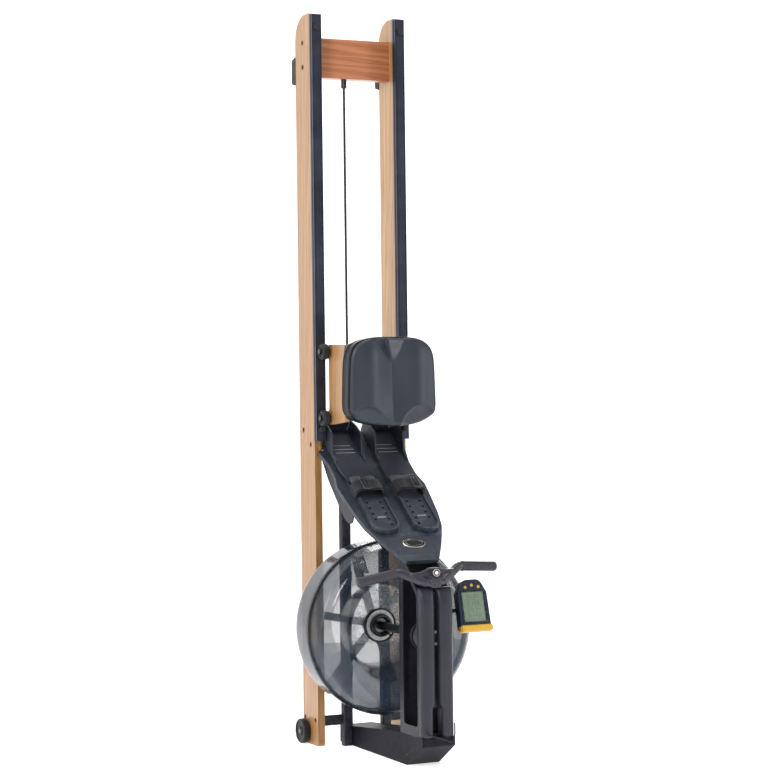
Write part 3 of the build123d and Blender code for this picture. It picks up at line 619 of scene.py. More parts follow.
def block(bm, M4, lo, hi, r=1.0, seg=3, taper=1.0):
    """A block with all its edges rounded, in millimetres of the frame M4."""
    (x0, y0, z0), (x1, y1, z1) = lo, hi
    r = min(r, (x1 - x0) * 0.49, (y1 - y0) * 0.49, (z1 - z0) * 0.49)
    levels = []
    for k in range(seg + 1):
        t = math.pi / 2 * k / seg
        levels.append((y0 + r - r * math.cos(math.pi / 2 - t) if False else y0 + r * (1 - math.sin(t)), r * (1 - math.cos(t))))
    levels = [(y0 + r * (1 - math.cos(math.pi / 2 * k / seg)), r * (1 - math.sin(math.pi / 2 * k / seg))) for k in range(seg + 1)]
    back = [(y1 - (y - y0), ins) for (y, ins) in levels[::-1]]
    rings = []
    for (y, ins) in levels + back:
        w, h = (x1 - x0) - 2 * ins, (z1 - z0) - 2 * ins
        pts = rounded([(-w / 2, -h / 2, max(0.05, r - ins * 0.6)), (w / 2, -h / 2, max(0.05, r - ins * 0.6)), (w / 2, h / 2, max(0.05, r - ins * 0.6)), (-w / 2, h / 2, max(0.05, r - ins * 0.6))], seg)
        cx, cz = (x0 + x1) / 2, (z0 + z1) / 2
        rings.append([bm.verts.new(M4 @ Vector(((cx + p.x) / 1000, y / 1000, (cz + p.y) / 1000))) for p in pts])
    skin(bm, rings)


# foot board frame: x across, s down the slope, n out of the board
FB_O = W(0, 0, 852)
FB_S = Vector((0, -math.cos(FB_A), -math.sin(FB_A)))
FB_N = Vector((0, -math.sin(FB_A), math.cos(FB_A)))


def fb(x, s, n):
    return FB_O + Vector((x / 1000, 0, 0)) + FB_S * (s / 1000) + FB_N * (n / 1000)


FB_M = Matrix(((1, 0, 0, FB_O.x), (0, FB_N.y * -1, FB_S.y * -1, FB_O.y), (0, FB_N.z * -1, FB_S.z * -1, FB_O.z), (0, 0, 0, 1)))


# ============================================================ seat
def build_seat():
    N = 112
    lo_, hi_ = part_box("seat_cushion")
    cx, cz = (lo_.x + hi_.x) / 2, (lo_.z + hi_.z) / 2
    yb = hi_.y
    bm = bmesh.new()

    def outline(phi, grow=0.0):
        A, B = 133.6 + grow, 126.0 + grow
        c, s = math.cos(phi), math.sin(phi)
        n = 4.6 if s > 0 else 6.2
        r = (abs(c / A) ** n + abs(s / B) ** n) ** (-1 / n)
        return r * c, r * s

    def place(phi, sh, grow=0.0):
        x, z = outline(phi, grow)
        x, z = x * sh, z * sh
        x *= 1 - 0.030 * (z / 126)
        z *= 1 - (0.065 if z > 0 else 0.165) * min(1, abs(x) / 134) ** 2 * smooth(0.25, 1.0, abs(z) / 126)
        return x, z

    def depth(x, z, sh):
        ax, b = abs(x), z / 126
        t = 59.0
        t += 14.0 * math.exp(-(((ax - 72) / 42) ** 2)) * (1 - 0.35 * smooth(0.5, 1.0, b))
        gw = 20 + 8 * smooth(-0.6, 0.9, b)
        gd = 2.0 + 8.5 * smooth(-1.0, 0.5, b)
        t -= gd * math.exp(-((ax / gw) ** 1.25))
        k = smooth(0.38, 0.92, b)
        wv = 4 + 48 * max(0.0, b - 0.38) / 0.62
        xv = x + 9 * k
        v = max(0.0, 1 - abs(xv) / wv)
        t -= 17.0 * k * (v if v < 0.92 else 0.92 + (v - 0.92) * 0.5)
        q = 1 - ((ax - 82) / 62) ** 2 - ((z + 140) / 72) ** 2
        if q > 0:
            t -= 23.0 * q ** 0.72
        t -= 6.0 * smooth(0.62, 1.0, b)
        t += 5.0 * math.exp(-((x / 34) ** 2)) * smooth(-0.30, -0.95, b)
        R = 12.0
        d = (1 - sh) * 128
        if d < R:
            t -= R * (1 - math.sqrt(max(0.0, 1 - (1 - d / R) ** 2)))
        return t

    def put(x, t, z):
        return bm.verts.new((cx + x / 1000, yb - t / 1000, cz + z / 1000))

    front, back, rim = {}, {}, {}
    for i in range(N + 1):
        for j in range(N + 1):
            u, v = -1 + 2 * i / N, -1 + 2 * j / N
            s = max(abs(u), abs(v))
            sh = 1 - (1 - s) ** 1.28
            phi = math.atan2(v, u) if s > 0 else 0.0
            x, z = place(phi, sh)
            front[i, j] = put(x, depth(x, z, sh), z)
            xb, zb = place(phi, sh * 0.975)
            back[i, j] = put(xb, 0.6 if sh < 0.999 else 1.6, zb)
            rim[i, j] = (phi, x, z)
    for i in range(N):
        for j in range(N):
            bm.faces.new((front[i, j], front[i + 1, j], front[i + 1, j + 1], front[i, j + 1]))
            bm.faces.new((back[i, j], back[i, j + 1], back[i + 1, j + 1], back[i + 1, j]))
    per = [(i, 0) for i in range(N)] + [(N, j) for j in range(N)] + [(i, N) for i in range(N, 0, -1)] + [(0, j) for j in range(N, 0, -1)]
    rings = [[front[p] for p in per]]
    for share, inset in ((0.9, 0.2), (0.78, 0.9), (0.62, 1.9), (0.48, 2.4), (0.36, 2.2), (0.30, 1.9), (0.285, 3.4), (0.255, 3.4), (0.24, 1.9), (0.15, 1.6), (0.06, 2.2)):
        ring = []
        for p in per:
            phi, x, z = rim[p]
            te = depth(x, z, 1.0)
            xx, zz = place(phi, 1.0, -inset)
            ring.append(put(xx, te * share, zz))
        rings.append(ring)
    rings.append([back[p] for p in per])
    skin(bm, rings, caps=False)
    o = done("seat_cushion_moulded", bm, M["seat"], "seat", ("seat_cushion",), angle=70)
    o.data.materials.append(M["seat_side"])
    # faces turned away from the front get the darker copy, which paints shade on the side band
    for p in o.data.polygons:
        if p.normal.y > -0.60:
            p.material_index = 1
    return o


build_seat()


# ============================================================ water tank
def tank():
    c0 = Vector((0, S, TANK_Z))
    back = [(247, -167), (247, -161, 1), (241, -161, 1), (241, -38, 46), (0, -38), (0, -46), (20, -46), (20, -60), (26, -60, 1), (26, -42, 2), (237, -42, 42), (237, -167)]
    front = [(247, -171), (247, -177, 1), (240, -177, 1), (224, -256, 48), (150, -256, 10), (118, -112, 14), (20, -112), (20, -108), (121.6, -108, 10), (153.5, -252, 6),
             (220.5, -252, 44), (236, -177), (236.6, -171)]
    for name, prof in (("tank_back_shell", back), ("tank_front_shell", front)):
        pts = []
        for p in rounded(prof, 9):
            if pts and (p - Vector(pts[-1])).length < 0.02:
                continue
            pts.append((p.x, p.y))
        bm = bmesh.new()
        lathe(bm, pts, c0, "y", 160)
        done(name + "_clear", bm, M["tank"], "root", (name,), angle=42)
    # water lies in the lower part of the cavity
    prof = [(44, -43.2), (236, -43.2, 41), (235.4, -171), (219.6, -251, 43), (154.6, -251, 6), (122.4, -107, 10), (44, -107)]
    bm = bmesh.new()
    lathe(bm, [(p.x, p.y) for p in rounded(prof, 7)], c0, "y", 128)
    geom = bm.verts[:] + bm.edges[:] + bm.faces[:]
    bmesh.ops.bisect_plane(bm, geom=geom, plane_co=(0, 0, 0.300), plane_no=(0, 0, 1), clear_outer=True)
    rim = [e for e in bm.edges if len(e.link_faces) == 1]
    top = bmesh.ops.edgeloop_fill(bm, edges=rim)["faces"]
    bmesh.ops.triangulate(bm, faces=top)
    done("tank_water", bm, M["water"], "root", angle=30)
    # beads of condensation on the inside of the recessed face and the front wall
    rng = np.random.default_rng(7)
    bm = bmesh.new()

    def bead(centre, normal, r):
        up = Vector(normal).normalized()
        a = up.orthogonal().normalized()
        b = up.cross(a)
        top_v = bm.verts.new(centre + up * r * 0.55)
        rings = []
        for (h, k) in ((0.42, 0.55), (0.18, 0.88), (0.0, 1.0)):
            rings.append([bm.verts.new(centre + up * r * h + (a * math.cos(t) + b * math.sin(t)) * r * k) for t in (2 * math.pi * i / 8 for i in range(8))])
        for i in range(8):
            bm.faces.new((top_v, rings[0][i], rings[0][(i + 1) % 8]))
        skin(bm, rings, caps=False)
        bm.faces.new(rings[-1][::-1])

    n = 0
    while n < 340:
        rr, t = 116 * math.sqrt(rng.random()), 2 * math.pi * rng.random()
        x, z = rr * math.cos(t), rr * math.sin(t)
        if rr < 54 or 351 + z < 303:
            continue
        bead(W(x, -107.7, 351 + z), (0, 1, 0), (0.0006 + 0.0016 * rng.random() ** 2.5))
        n += 1
    n = 0
    while n < 260:
        t = 2 * math.pi * rng.random()
        y = -180 - 40 * rng.random()
        rr = 236 - (abs(y) - 177) * 0.21 - 0.4
        z = 351 + rr * math.sin(t)
        if z < 304:
            continue
        bead(W(rr * math.cos(t), y, z), (-math.cos(t), 0, -math.sin(t)), (0.0006 + 0.0015 * rng.random() ** 2.5))
        n += 1
    done("tank_droplets", bm, M["bead"], "root", angle=60, merge=0)


def water_mats():
    m = Mat("water", rough=0.03, IOR=1.33, Alpha=0.30, Specular_IOR_Level=0.4)
    v = m.mapping()
    n = m.noise(v, 6.0, 3)
    m.color(m.mix(m.maprange(n, 0.3, 0.7, 0, 1), (0.13, 0.24, 0.38), (0.19, 0.31, 0.46)))
    m.normal(m.bump(m.noise(v, 30.0, 2), 0.12, 0.002))
    M["water"] = m.m
    m = Mat("bead", rough=0.04, IOR=1.33, Alpha=0.55, Specular_IOR_Level=0.9)
    v = m.mapping()
    m.color(m.mix(m.noise(v, 300.0, 1), (0.30, 0.33, 0.36), (0.75, 0.78, 0.80)))
    M["bead"] = m.m


water_mats()
tank()


# ============================================================ column covers
def covers():
    bm = bmesh.new()
    for side in (-1, 1):
        rings = []
        zs = [85.4, 86.2, 88, 92] + list(np.linspace(100, 150, 6)) + list(np.linspace(155, 182, 10)) + list(np.linspace(200, 420, 12)) + list(430 + 57 * np.sin(np.linspace(0.04, 1.0, 16) * math.pi / 2))
        for z in zs:
            x0 = 12.2 - 7.0 * smooth(158, 176, z)
            x1 = 49.0
            d = 25.0
            if z > 430:
                d = max(0.6, 25 * math.sqrt(max(0.0, 1 - ((z - 430) / 57.2) ** 2)))
            ins = 1.6 * (1 - smooth(85.0, 89.0, z))
            r = min(12.5, d * 0.62)
            pts = rounded([(x0 + ins, -462.1, min(1.5, d * 0.2)), (x1 - ins, -462.1, min(1.5, d * 0.2)), (x1 - ins, -462 - d + ins, r), (x0 + ins, -462 - d + ins, r)], 9)
            mid, half = (x0 + x1) / 2, (x1 - x0) / 2
            ring = []
            for p in pts:
                y = p.y
                if y < -462 - d * 0.5:      # a low crown across each lobe
                    y += 1.6 * ((p.x - mid) / half) ** 2 * (d / 25)
                ring.append(bm.verts.new(W(side * p.x, y, z)))
            rings.append(ring if side > 0 else ring[::-1])
        skin(bm, rings)
    done("column_covers_moulded", bm, M["cover"], "root", ("column_covers",), angle=50)


covers()


# ============================================================ foot straps
def straps():
    bm_band, bm_st, bm_bk, bm_pad = bmesh.new(), bmesh.new(), bmesh.new(), bmesh.new()

    def path(side, n0, top, x_in, x_out, t0, t1, count, sag=1.4):
        cx, hw = (x_in + x_out) / 2, (x_out - x_in) / 2
        pts = []
        for k in range(count + 1):
            t = t0 + (t1 - t0) * k / count
            c, s = math.cos(t), math.sin(t)
            x = cx + hw * math.copysign(abs(c) ** 0.62, c)
            n = n0 + (top - n0) * max(0.0, s) ** 0.62
            n -= sag * math.exp(-(((x - cx) / 16) ** 2))
            pts.append((side * x, n))
        return pts

    def band(bm, pts, s0, s1, thick, wav=0.5):
        """A webbing band: thin, with rounded edges and a slight wave."""
        M_ = 10
        prof = [(s0 + 0.6, 0)] + [(s0 + (s1 - s0) * k / M_, 1) for k in range(M_ + 1)] + [(s1 - 0.6, 0)]
        n = len(pts)
        rings = []
        for i, (x, h) in enumerate(pts):
            a, b = pts[max(i - 1, 0)], pts[min(i + 1, n - 1)]
            dx, dh = b[0] - a[0], b[1] - a[1]
            ln = math.hypot(dx, dh) or 1
            nx, nh = -dh / ln, dx / ln
            if nh < 0 or (abs(nh) < 1e-3 and nx * (1 if pts[n // 2][0] > 0 else -1) < 0):
                pass
            ring = []
            up, down = [], []
            for k in range(M_ + 1):
                s = s0 + (s1 - s0) * k / M_
                e = abs(2 * k / M_ - 1)
                tt = thick * (1 - 0.45 * e ** 8)
                w = wav * math.sin(0.11 * x + 0.19 * s) * (h / 44)
                up.append(fb(x + nx * (w + tt / 2), s, h + nh * (w + tt / 2)))
                down.append(fb(x + nx * (w - tt / 2), s, h + nh * (w - tt / 2)))
            ring = up + down[::-1]
            rings.append([bm.verts.new(v) for v in ring])
        skin(bm, rings)

    for side in (-1, 1):
        base = path(side, 0.4, 36.5, 17.6, 105.4, math.pi, 0.0, 56, 2.5)
        band(bm_band, base, 188, 234, 2.4)
        flap = path(side, 3.2, 39.3, 14.9, 108.1, math.pi * 0.10, math.pi * 0.72, 40, 2.5)
        band(bm_band, flap, 190.5, 231.5, 2.2)
        # lower pad piece, folded back over the toe plate
        pad = path(side, 15.9, 25.5, 24.0, 99.0, math.pi * 0.97, math.pi * 0.03, 44, 3.0)
        band(bm_pad, pad, 160, 186.5, 3.0, 0.8)
        # stitch lines along both edges of the flap
        for s in (193.4, 228.6):
            for i in range(1, len(flap) - 2, 1):
                x, n = flap[i]
                x2, n2 = flap[i + 1]
                mx, mn = (x + x2) / 2, (n + n2) / 2
                dx, dn = (x2 - x) * 0.32, (n2 - n) * 0.32
                ln = math.hypot(dx, dn) or 1
                ox, on = -dn / ln, dx / ln
                if on < 0:
                    ox, on = -ox, -on
                a = fb(mx - dx + ox * 1.25, s, mn - dn + on * 1.25)
                b = fb(mx + dx + ox * 1.25, s, mn + dn + on * 1.25)
                up = (fb(mx + ox, s, mn + on) - fb(mx, s, mn)).normalized()
                mid = (a + b) / 2 + up * 0.0004
                sweep(bm_st, [a, (a + mid) / 2 + up * 0.0002, mid, (b + mid) / 2 + up * 0.0002, b], circle(0.00042, 6), FB_S)
        # slide buckle: a frame with a bar, sitting on the flap
        xc = side * 77.0
        nb = 42.6

        def bar(p, q, w, h):
            sec = rrect(w, h, min(w, h) * 0.42, 3)
            path_ = [p.lerp(q, t) for t in (0, 0.04, 0.25, 0.5, 0.75, 0.96, 1)]
            sweep(bm_bk, path_, sec, FB_N)

        hw, hs = 9.5, 27.0
        loop2 = rounded([(-hw, -hs, 4), (hw, -hs, 4), (hw, hs, 4), (-hw, hs, 4)], 5)
        ring_pts = [fb(xc + p.x, 211 + p.y, nb) for p in loop2]
        sec = rrect(0.0034, 0.0040, 0.0013, 3)
        m = len(ring_pts)
        rings = []
        for i, p in enumerate(ring_pts):
            t = (ring_pts[(i + 1) % m] - ring_pts[i - 1]).normalized()
            out = t.cross(FB_N)
            rings.append([bm_bk.verts.new(p + FB_N * q[0] + out * q[1]) for q in sec])
        skin(bm_bk, rings, closed_path=True)
        for off in (0.0,):
            bar(fb(xc + off, 211 - hs + 1, nb + 0.2), fb(xc + off, 211 + hs - 1, nb + 0.2), 0.0032, 0.0030)
        bar(fb(xc - hw + 1, 211 - hs + 1.2, nb + 0.6), fb(xc - hw + 1, 211 + hs - 1.2, nb + 0.6), 0.0042, 0.0046)
    done("foot_strap_webbing", bm_band, M["web"], "root", ("foot_straps",), angle=50)
    # the pad takes the lighter webbing, a painted highlight
    done("foot_strap_pads", bm_pad, M["flap"], "root", angle=50)
    done("foot_strap_stitching", bm_st, M["thread"], "root", angle=60, merge=0)
    done("foot_strap_buckles", bm_bk, M["gloss"], "root", ("strap_buckles",), angle=45)


M["thread"] = weave("thread", (0.05, 0.05, 0.058), (0.14, 0.14, 0.155), 5200.0, ("DIAGONAL", "X"), 0.7)
M["gloss"] = plastic("moulded_gloss", (0.016, 0.017, 0.022), (0.026, 0.027, 0.034), 0.28, 600.0, 0.05, 0.0002, 0.5)
straps()


# ============================================================ badge on the foot board
def badge():
    for (name, a, b, n0, n1, mat) in (("badge_rim", 35.0, 19.0, 0.0, 3.0, "rim"), ("badge_face", 31.2, 15.6, 0.4, 3.5, "selector")):
        bm = bmesh.new()
        rings = []
        prof = [(1.0, n0), (1.0, n1 - 0.9), (0.985, n1 - 0.35), (0.955, n1)] if name == "badge_rim" else [(1.0, n0), (1.0, n1 - 0.5), (0.97, n1 - 0.12), (0.9, n1), (0.55, n1 + 0.35), (0.2, n1 + 0.5)]
        for (k, n) in prof:
            rings.append([bm.verts.new(fb(a * k * math.cos(t), 430 + b * k * math.sin(t), n)) for t in (2 * math.pi * i / 72 for i in range(72))])
        skin(bm, rings)
        done("footboard_" + name, bm, M[mat], "root", ("footboard_badge",) if name == "badge_rim" else ())
    # a plain raised oval line on the face
    bm = bmesh.new()
    pts = [fb(25.5 * math.cos(t), 430 + 11.2 * math.sin(t), 3.95) for t in (2 * math.pi * i / 64 for i in range(64))]
    rings = []
    for i, p in enumerate(pts):
        t = (pts[(i + 1) % 64] - pts[i - 1]).normalized()
        out = t.cross(FB_N)
        rings.append([bm.verts.new(p + FB_N * q[0] + out * q[1]) for q in circle(0.00045, 8)])
    skin(bm, rings, closed_path=True)
    done("footboard_badge_line", bm, M["rim"], "root")


M["rim"] = metal("badge_rim_metal", (0.42, 0.40, 0.37), (0.56, 0.54, 0.50), 0.3, (1, 1, 1), 500.0, 0.05)
badge()


# ============================================================ handle
def handle():
    tan = math.tan(math.radians(3.5))
    bm = bmesh.new()
    for side in (-1, 1):
        e = W(side * 205, -424, 518 + side * 205 * tan)
        i = W(side * 88, -440, 533 + side * 88 * tan)
        d = (i - e).normalized()
        e = e - d * 0.0045
        prof = [(0.0, 0.0), (7.0, 0.25), (10.4, 1.0), (12.4, 2.6), (13.2, 5.2)]
        a = 8.0
        while a < 104:
            prof += [(13.25, a), (13.25, a + 2.6), (12.85, a + 3.0), (12.85, a + 3.6)]
            a += 4.0
        prof += [(13.2, 107), (13.9, 108.5), (14.1, 111), (13.7, 113.4), (12.4, 114.4), (11.1, 114.6)]
        side_v = d.orthogonal().normalized()
        up = d.cross(side_v)
        rings = []
        for (r, al) in prof[1:]:
            rings.append([bm.verts.new(e + d * (al / 1000) + (side_v * math.cos(t) + up * math.sin(t)) * (r / 1000)) for t in (2 * math.pi * k / 48 for k in range(48))])
        skin(bm, rings)
    done("handle_grips_ribbed", bm, M["grip"], "handle", ("handle_grips",), angle=30)
    lo_, hi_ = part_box("handle_yoke")
    y0 = (lo_.y - S) * 1000
    c0 = Vector((0, S, 0.527))
    for (name, prof, mat, slot) in (
        ("handle_badge_rim", [(10.4, y0 + 1.5), (10.4, y0 - 0.7), (9.9, y0 - 1.3), (8.4, y0 - 1.4), (8.2, y0 - 0.9), (8.2, y0 + 1.5)], "rim", "selector_grey"),
        ("handle_badge_ring", [(8.15, y0 + 1.2), (8.15, y0 - 1.0), (5.3, y0 - 1.3), (5.1, y0 + 1.2)], "selector", "selector_black"),
        ("handle_badge_centre", [(5.05, y0 + 1.0), (5.05, y0 - 1.2), (4.2, y0 - 1.8), (2.2, y0 - 2.1), (0.0, y0 - 2.2), (0.0, y0 + 1.0)], "white", "selector_grey"),
    ):
        bm = bmesh.new()
        lathe(bm, prof, c0, "y", 56)
        done(name, bm, M[mat], "handle", angle=40)


M["white"] = plastic("white_cap", (0.70, 0.70, 0.67), (0.80, 0.80, 0.77), 0.35, 400.0, 0.05, 0.0002)
handle()


# ============================================================ drive strap
def drive_strap():
    lo_, hi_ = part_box("drive_strap")
    bm = bmesh.new()
    rows = 64
    sec = rrect(0.0017, 0.0356, 0.0008, 3)
    rings = []
    for k in range(rows + 1):
        z = lo_.z - 0.002 + (hi_.z - lo_.z + 0.002) * k / rows
        rings.append([bm.verts.new(((lo_.x + hi_.x) / 2 + q[0], (lo_.y + hi_.y) / 2 + q[1], z)) for q in sec])
    skin(bm, rings)
    o = done("drive_strap_webbing", bm, M["web"], None, ("drive_strap",), angle=50, ride=False)
    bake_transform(o)


drive_strap()


# ============================================================ monitor
MON = Matrix.Translation(W(134, -440, 424)) @ Matrix.Rotation(math.radians(-15), 4, "X")


def monitor():
    # bezel round the screen
    bm = bmesh.new()
    out, inn = rounded([(-37.5, -44.5, 4), (37.5, -44.5, 4), (37.5, 46.5, 4), (-37.5, 46.5, 4)], 6), rounded([(-32.9, -39.9, 2), (32.9, -39.9, 2), (32.9, 41.9, 2), (-32.9, 41.9, 2)], 6)
    lv = [(out, 0.6, 1.0), (out, -1.0, 1.0), (out, -1.6, 0.985), (inn, -1.5, 1.012), (inn, -0.9, 1.0), (inn, 1.5, 1.0)]
    rings = []
    for (o2, y, k) in lv:
        rings.append([bm.verts.new(MON @ Vector((p.x * k / 1000, y / 1000, (1 + (p.y - 1) * k) / 1000))) for p in o2])
    skin(bm, rings, closed_path=True)
    done("monitor_bezel", bm, M["bezel"], "monitor", angle=40)
    # bumper along the lower edge, with six shallow grip slots
    bm = bmesh.new()
    rings = []
    xs = [-48.4, -48.2, -47.4, -46, -43] + list(np.linspace(-38, 38, 39)) + [43, 46, 47.4, 48.2, 48.4]
    for x in xs:
        e = smooth(42.5, 48.4, abs(x))
        ins = 3.2 * e * e
        rib = 0.7 if (abs(x) < 24 and int((x + 100) / 4) % 2 == 0) else 0.0
        pts = rounded([(-6.6 + ins + rib, -67.4 + ins, 4), (19.2 - ins, -67.4 + ins, 3), (19.2 - ins, -49.4 - ins, 2), (-6.6 + ins + rib, -48.6 - ins, 4.5)], 6)
        rings.append([bm.verts.new(MON @ Vector((x / 1000, p.x / 1000, p.y / 1000))) for p in pts])
    skin(bm, rings)
    done("monitor_bumper", bm, M["yellow"], "monitor", angle=35)
    # seven-segment figures on the screen
    bm = bmesh.new()
    seg_on = {"0": "abcdef", "1": "bc", "2": "abged", "3": "abgcd", "4": "fgbc", "5": "afgcd", "6": "afgedc", "8": "abcdefg"}

    def digit(ch, x, z, w, h):
        t = w * 0.17
        box_ = {"a": (0, h / 2, w * 0.66, t), "d": (0, -h / 2, w * 0.66, t), "g": (0, 0, w * 0.66, t), "f": (-w / 2, h / 4, t, h * 0.42),
                "b": (w / 2, h / 4, t, h * 0.42), "e": (-w / 2, -h / 4, t, h * 0.42), "c": (w / 2, -h / 4, t, h * 0.42)}
        for s in seg_on[ch]:
            bx, bz, bw, bh = box_[s]
            block(bm, MON, (x + bx - bw / 2, 1.05, z + bz - bh / 2), (x + bx + bw / 2, 1.5, z + bz + bh / 2), 0.18, 2)

    for (row, z, h, w, text) in ((0, 30, 9, 5.4, "0205"), (1, 12, 9, 5.4, "0126"), (2, -6, 9, 5.4, "0034"), (3, -24, 9, 5.4, "0140")):
        for i, ch in enumerate(text):
            digit(ch, -15 + i * 9.6 + (2 if i > 1 else 0), z, w, h)
    for z in (21, 3, -15, -33.5):
        block(bm, MON, (-30, 1.1, z - 0.25), (30, 1.5, z + 0.25), 0.15, 2)
    done("monitor_figures", bm, M["ink"], "monitor", angle=40, merge=0)


M["bezel"] = plastic("bezel_dark", (0.004, 0.008, 0.014), (0.007, 0.013, 0.022), 0.25, 500.0, 0.05, 0.0002, 0.3)
M["ink"] = plastic("lcd_ink", (0.030, 0.045, 0.034), (0.045, 0.062, 0.048), 0.4, 600.0, 0.03, 0.0001)
monitor()


# ============================================================ wheels and rollers
def wheels():
    for side, node, body in ((-1, "transport_wheel_left", "wheel_left"), (1, "transport_wheel_right", "wheel_right")):
        lo_, hi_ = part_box(node)
        cx, cy, cz = (lo_.x + hi_.x) / 2, (lo_.y + hi_.y) / 2, (lo_.z + hi_.z) / 2
        R = (hi_.z - lo_.z) / 2 * 1000
        h = (hi_.x - lo_.x) / 2 * 1000
        o = Vector((cx, cy, cz))
        prof = [(R - 3.2, -h), (R - 0.8, -h + 2.2), (R, -h + 5)]
        for k in range(3):
            a = -h + 6.2 + k * (2 * h - 12.4) / 3 + 0.9
            prof += [(R, a), (R - 0.8, a + 0.5), (R - 0.8, a + 1.3), (R, a + 1.8)]
        prof += [(R, h - 5), (R - 0.8, h - 2.2), (R - 3.2, h - 0.2), (R - 6.5, h - 0.2), (R - 8, h - 1.6), (R - 9.5, h - 3.6), (16, h - 4.4), (13.5, h - 3.6), (12.4, h - 1.2),
                 (9.0, h - 0.5), (8.0, h - 0.9), (8.0, -h + 0.6), (13, -h + 0.6), (14.5, -h + 3.0), (R - 9.5, -h + 3.2), (R - 8, -h + 1.2), (R - 6.5, -h)]
        if side < 0:
            prof = [(r, -a) for (r, a) in prof]
        bm = bmesh.new()
        lathe(bm, prof, o, "x", 84)
        done(node + "_turned", bm, M["rubber"], body, (node,), angle=32)


wheels()


# ============================================================ level selector on the tank
def selector():
    c0 = Vector((0, S, TANK_Z))
    ring = [(p.x, p.y) for p in rounded([(20.3, -112.05), (20.3, -117.0), (33.2, -117.0, 0.3), (33.2, -119.0, 0.5), (43.2, -119.6, 0.5), (43.2, -112.05)], 4)]
    bm = bmesh.new()
    lathe(bm, ring, c0, "y", 120)
    done("selector_ring_face", bm, M["scale"], "root", ("selector_scale_ring",), angle=35)
    outer = [(p.x, p.y) for p in rounded([(43.3, -112.05), (43.3, -121.2, 0.8), (46.0, -122.2, 1.2), (49.0, -120.4, 1.6), (49.0, -112.05)], 5)]
    bm = bmesh.new()
    lathe(bm, outer, c0, "y", 120)
    done("selector_ring_rim", bm, M["selector"], "root", angle=35)
    # scale marks
    bm = bmesh.new()
    for k in range(40):
        a = 2 * math.pi * k / 40
        if 0.60 < a < 0.95:
            continue
        big = k % 5 == 0
        R4 = Matrix.Translation(c0) @ Matrix.Rotation(-a, 4, "Y")
        r0 = 35.2 if big else 37.6
        block(bm, R4, (r0, -119.95, -0.55 if big else -0.3), (42.0, -119.35, 0.55 if big else 0.3), 0.12, 2)
    block(bm, Matrix.Translation(c0) @ Matrix.Rotation(0.78, 4, "Y"), (33.6, -120.4, -3.2), (46.0, -119.2, 3.2), 0.5, 3)
    done("selector_marks", bm, M["selector"], "root", angle=40, merge=0)
    # knob: fluted cup
    prof = rounded([(20.5, -118.4), (32.3, -118.4, 0.3), (32.3, -131.6, 2.2), (29.0, -133.8, 1.2), (25.5, -133.4, 1.0), (22.6, -125.0, 1.5), (20.5, -124.0, 0.5)], 5)
    bm = bmesh.new()
    n = 144
    rings = []
    for p in prof:
        ring_ = []
        for k in range(n):
            t = 2 * math.pi * k / n
            r = p.x
            if p.x > 28 and p.y < -120.5:
                r -= 1.1 * max(0.0, math.cos(18 * t)) ** 3 * smooth(28, 31.5, p.x)
            ring_.append(bm.verts.new(c0 + Vector((r * math.cos(t), p.y, r * math.sin(t))) / 1000))
        rings.append(ring_)
    skin(bm, rings, closed_path=True)
    R4 = Matrix.Translation(c0)
    for a in (0.2, 1.25, 2.3, 3.35, 4.4, 5.45):
        block(bm, R4 @ Matrix.Rotation(a, 4, "Y"), (21.5, -131.5, -1.1), (27.5, -121.0, 1.1), 0.6, 3)
    done("selector_knob_fluted", bm, M["selector"], "selector", ("selector_knob",), angle=35)


selector()


# ============================================================ forged handle
def forged_handle():
    bm = bmesh.new()
    for n in ("handle_bar", "handle_yoke"):
        bm.from_mesh(NODES[n].data)
    tan = math.tan(math.radians(3.5))

    def plate(pts, y0, y1):
        pts = [(x, z + x * tan) for (x, z) in pts]
        skin(bm, [[bm.verts.new(W(x, y, z)) for (x, z) in pts] for y in (y0, y1)])

    # web that joins the two legs and the boss
    plate([(-62, 521), (-26, 499), (26, 499), (62, 521), (66, 531), (40, 531), (14, 538), (-14, 538), (-40, 531), (-66, 531)], -466.0, -452.5)
    # thicker legs
    for side in (-1, 1):
        a, b, c = W(side * 24, -470, 500 + side * 24 * tan), W(side * 88, -440, 533 + side * 88 * tan), W(side * 118, -435.9, 529.2 + side * 118 * tan)
        pts = [a.lerp(b, t) for t in np.linspace(0, 0.92, 9)] + [b.lerp(c, t) for t in np.linspace(0.1, 0.6, 5)]
        sweep(bm, pts, circle(0.0124, 20), (0, 1, 0), scale=lambda t: 1.0)
    me = bpy.data.meshes.new("handle_source")
    bm.to_mesh(me)
    bm.free()
    o = bpy.data.objects.new("handle_source", me)
    col.objects.link(o)
    r = o.modifiers.new("remesh", "REMESH")
    r.mode = "VOXEL"
    r.voxel_size = 0.0021
    sm = o.modifiers.new("smooth", "SMOOTH")
    sm.factor, sm.iterations = 0.5, 7
    bpy.context.view_layer.update()
    dg = bpy.context.evaluated_depsgraph_get()
    out = bpy.data.meshes.new_from_object(o.evaluated_get(dg))
    bpy.data.objects.remove(o)
    out.name = "handle_forged"
    for p in out.polygons:
        p.use_smooth = True
    out.materials.clear()
    out.materials.append(M["bar_tube"])
    h = bpy.data.objects.new("handle_forged", out)
    col.objects.link(h)
    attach(h, "handle")
    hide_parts("handle_bar", "handle_yoke")


forged_handle()


# ============================================================ strap on the spool
def winding():
    lo_, hi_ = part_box("drive_spool")
    c0 = Vector((0, S, TANK_Z))
    prof = [(34.8, -450.6)]
    for k in range(1):
        prof += [(36.3, -450.4), (36.9, -449.4), (37.0, -446), (37.0, -414), (36.9, -410.8), (36.3, -409.8)]
    prof += [(34.8, -409.6)]
    bm = bmesh.new()
    lathe(bm, prof, c0, "y", 96)
    done("strap_winding", bm, M["web"], "spool", angle=50)


winding()


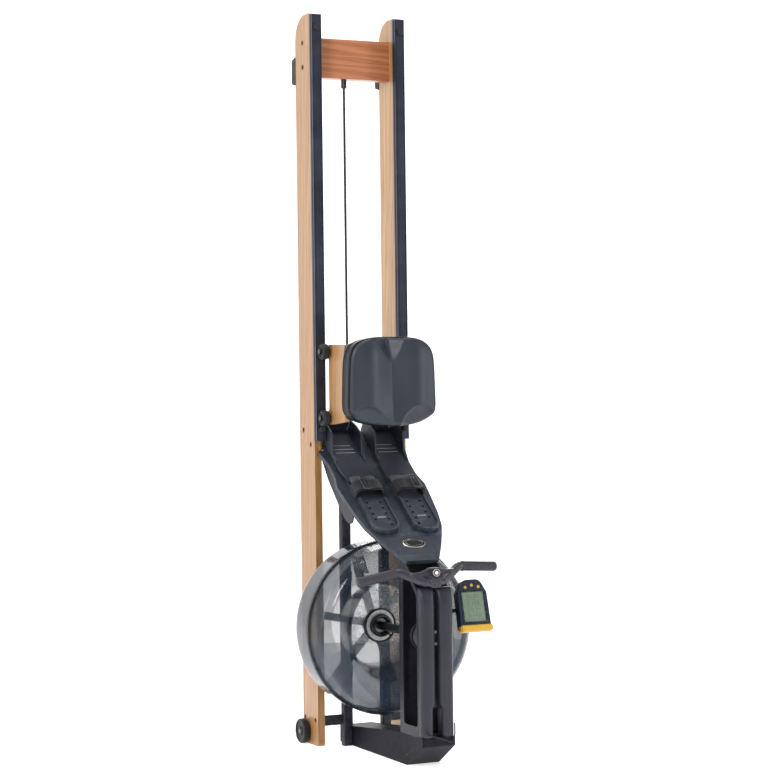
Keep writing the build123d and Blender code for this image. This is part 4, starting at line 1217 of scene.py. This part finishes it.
# ============================================================ inlays on the foot plates
def inlays():
    bm = bmesh.new()
    for side in (-1, 1):
        for (s, w) in ((326, 13.0),):
            pts = [fb(side * 61.5 - w + 2 * w * t, s, 12.1) for t in np.linspace(0, 1, 9)]
            sweep(bm, pts, rrect(0.0016, 0.0046, 0.0007, 3), FB_N)
    done("toe_plate_bars", bm, M["line"], "root", angle=50)
    for side, body in ((-1, "heel_left"), (1, "heel_right")):
        bm = bmesh.new()
        for (s, x0, x1) in ((8, 40, 92), (25, 36, 98), (41, 36, 98)):
            pts = [fb(side * (x0 + (x1 - x0) * t), s, 14.7) for t in np.linspace(0, 1, 13)]
            sweep(bm, pts, rrect(0.0022, 0.0026, 0.0010, 3), FB_N)
        done("heel_grip_strips_" + ("left" if side < 0 else "right"), bm, M["line"], body, angle=50)


inlays()


# ============================================================ turned seat rollers
def rollers():
    for (node, body) in (("upper_rollers", "rollers_upper"), ("lower_rollers", "rollers_lower")):
        lo_, hi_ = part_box(node)
        cy, cz = (lo_.y + hi_.y) / 2, (lo_.z + hi_.z) / 2
        R = (hi_.z - lo_.z) / 2 * 1000
        bm = bmesh.new()
        for side in (-1, 1):
            a0, a1 = 120.7, hi_.x * 1000
            prof = rounded([(6.2, a0 + 1.2), (9.0, a0 + 1.2), (9.6, a0 + 2.4), (13.5, a0 + 2.4), (15.0, a0 + 0.6), (R - 3, a0, 2.4), (R, a0 + 3.0, 2), (R, (a0 + a1) / 2 - 1.2), (R - 0.7, (a0 + a1) / 2 - 0.6),
                            (R - 0.7, (a0 + a1) / 2 + 0.6), (R, (a0 + a1) / 2 + 1.2), (R, a1 - 3.0, 2), (R - 3, a1, 2.4), (15.5, a1 - 0.4, 0.8), (13.8, a1 - 3.2, 0.8), (9.4, a1 - 3.2, 0.6), (8.4, a1 - 0.8, 0.6), (6.2, a1 - 0.8)], 3)
            lathe(bm, [(p.x, side * p.y) for p in prof], Vector((0, cy, cz)), "x", 64)
        done(node + "_turned", bm, M["rubber"], body, (node,), angle=35)


rollers()


for n, w in SOFT.items():
    if not NODES[n].hide_render:
        soften(NODES[n], w)
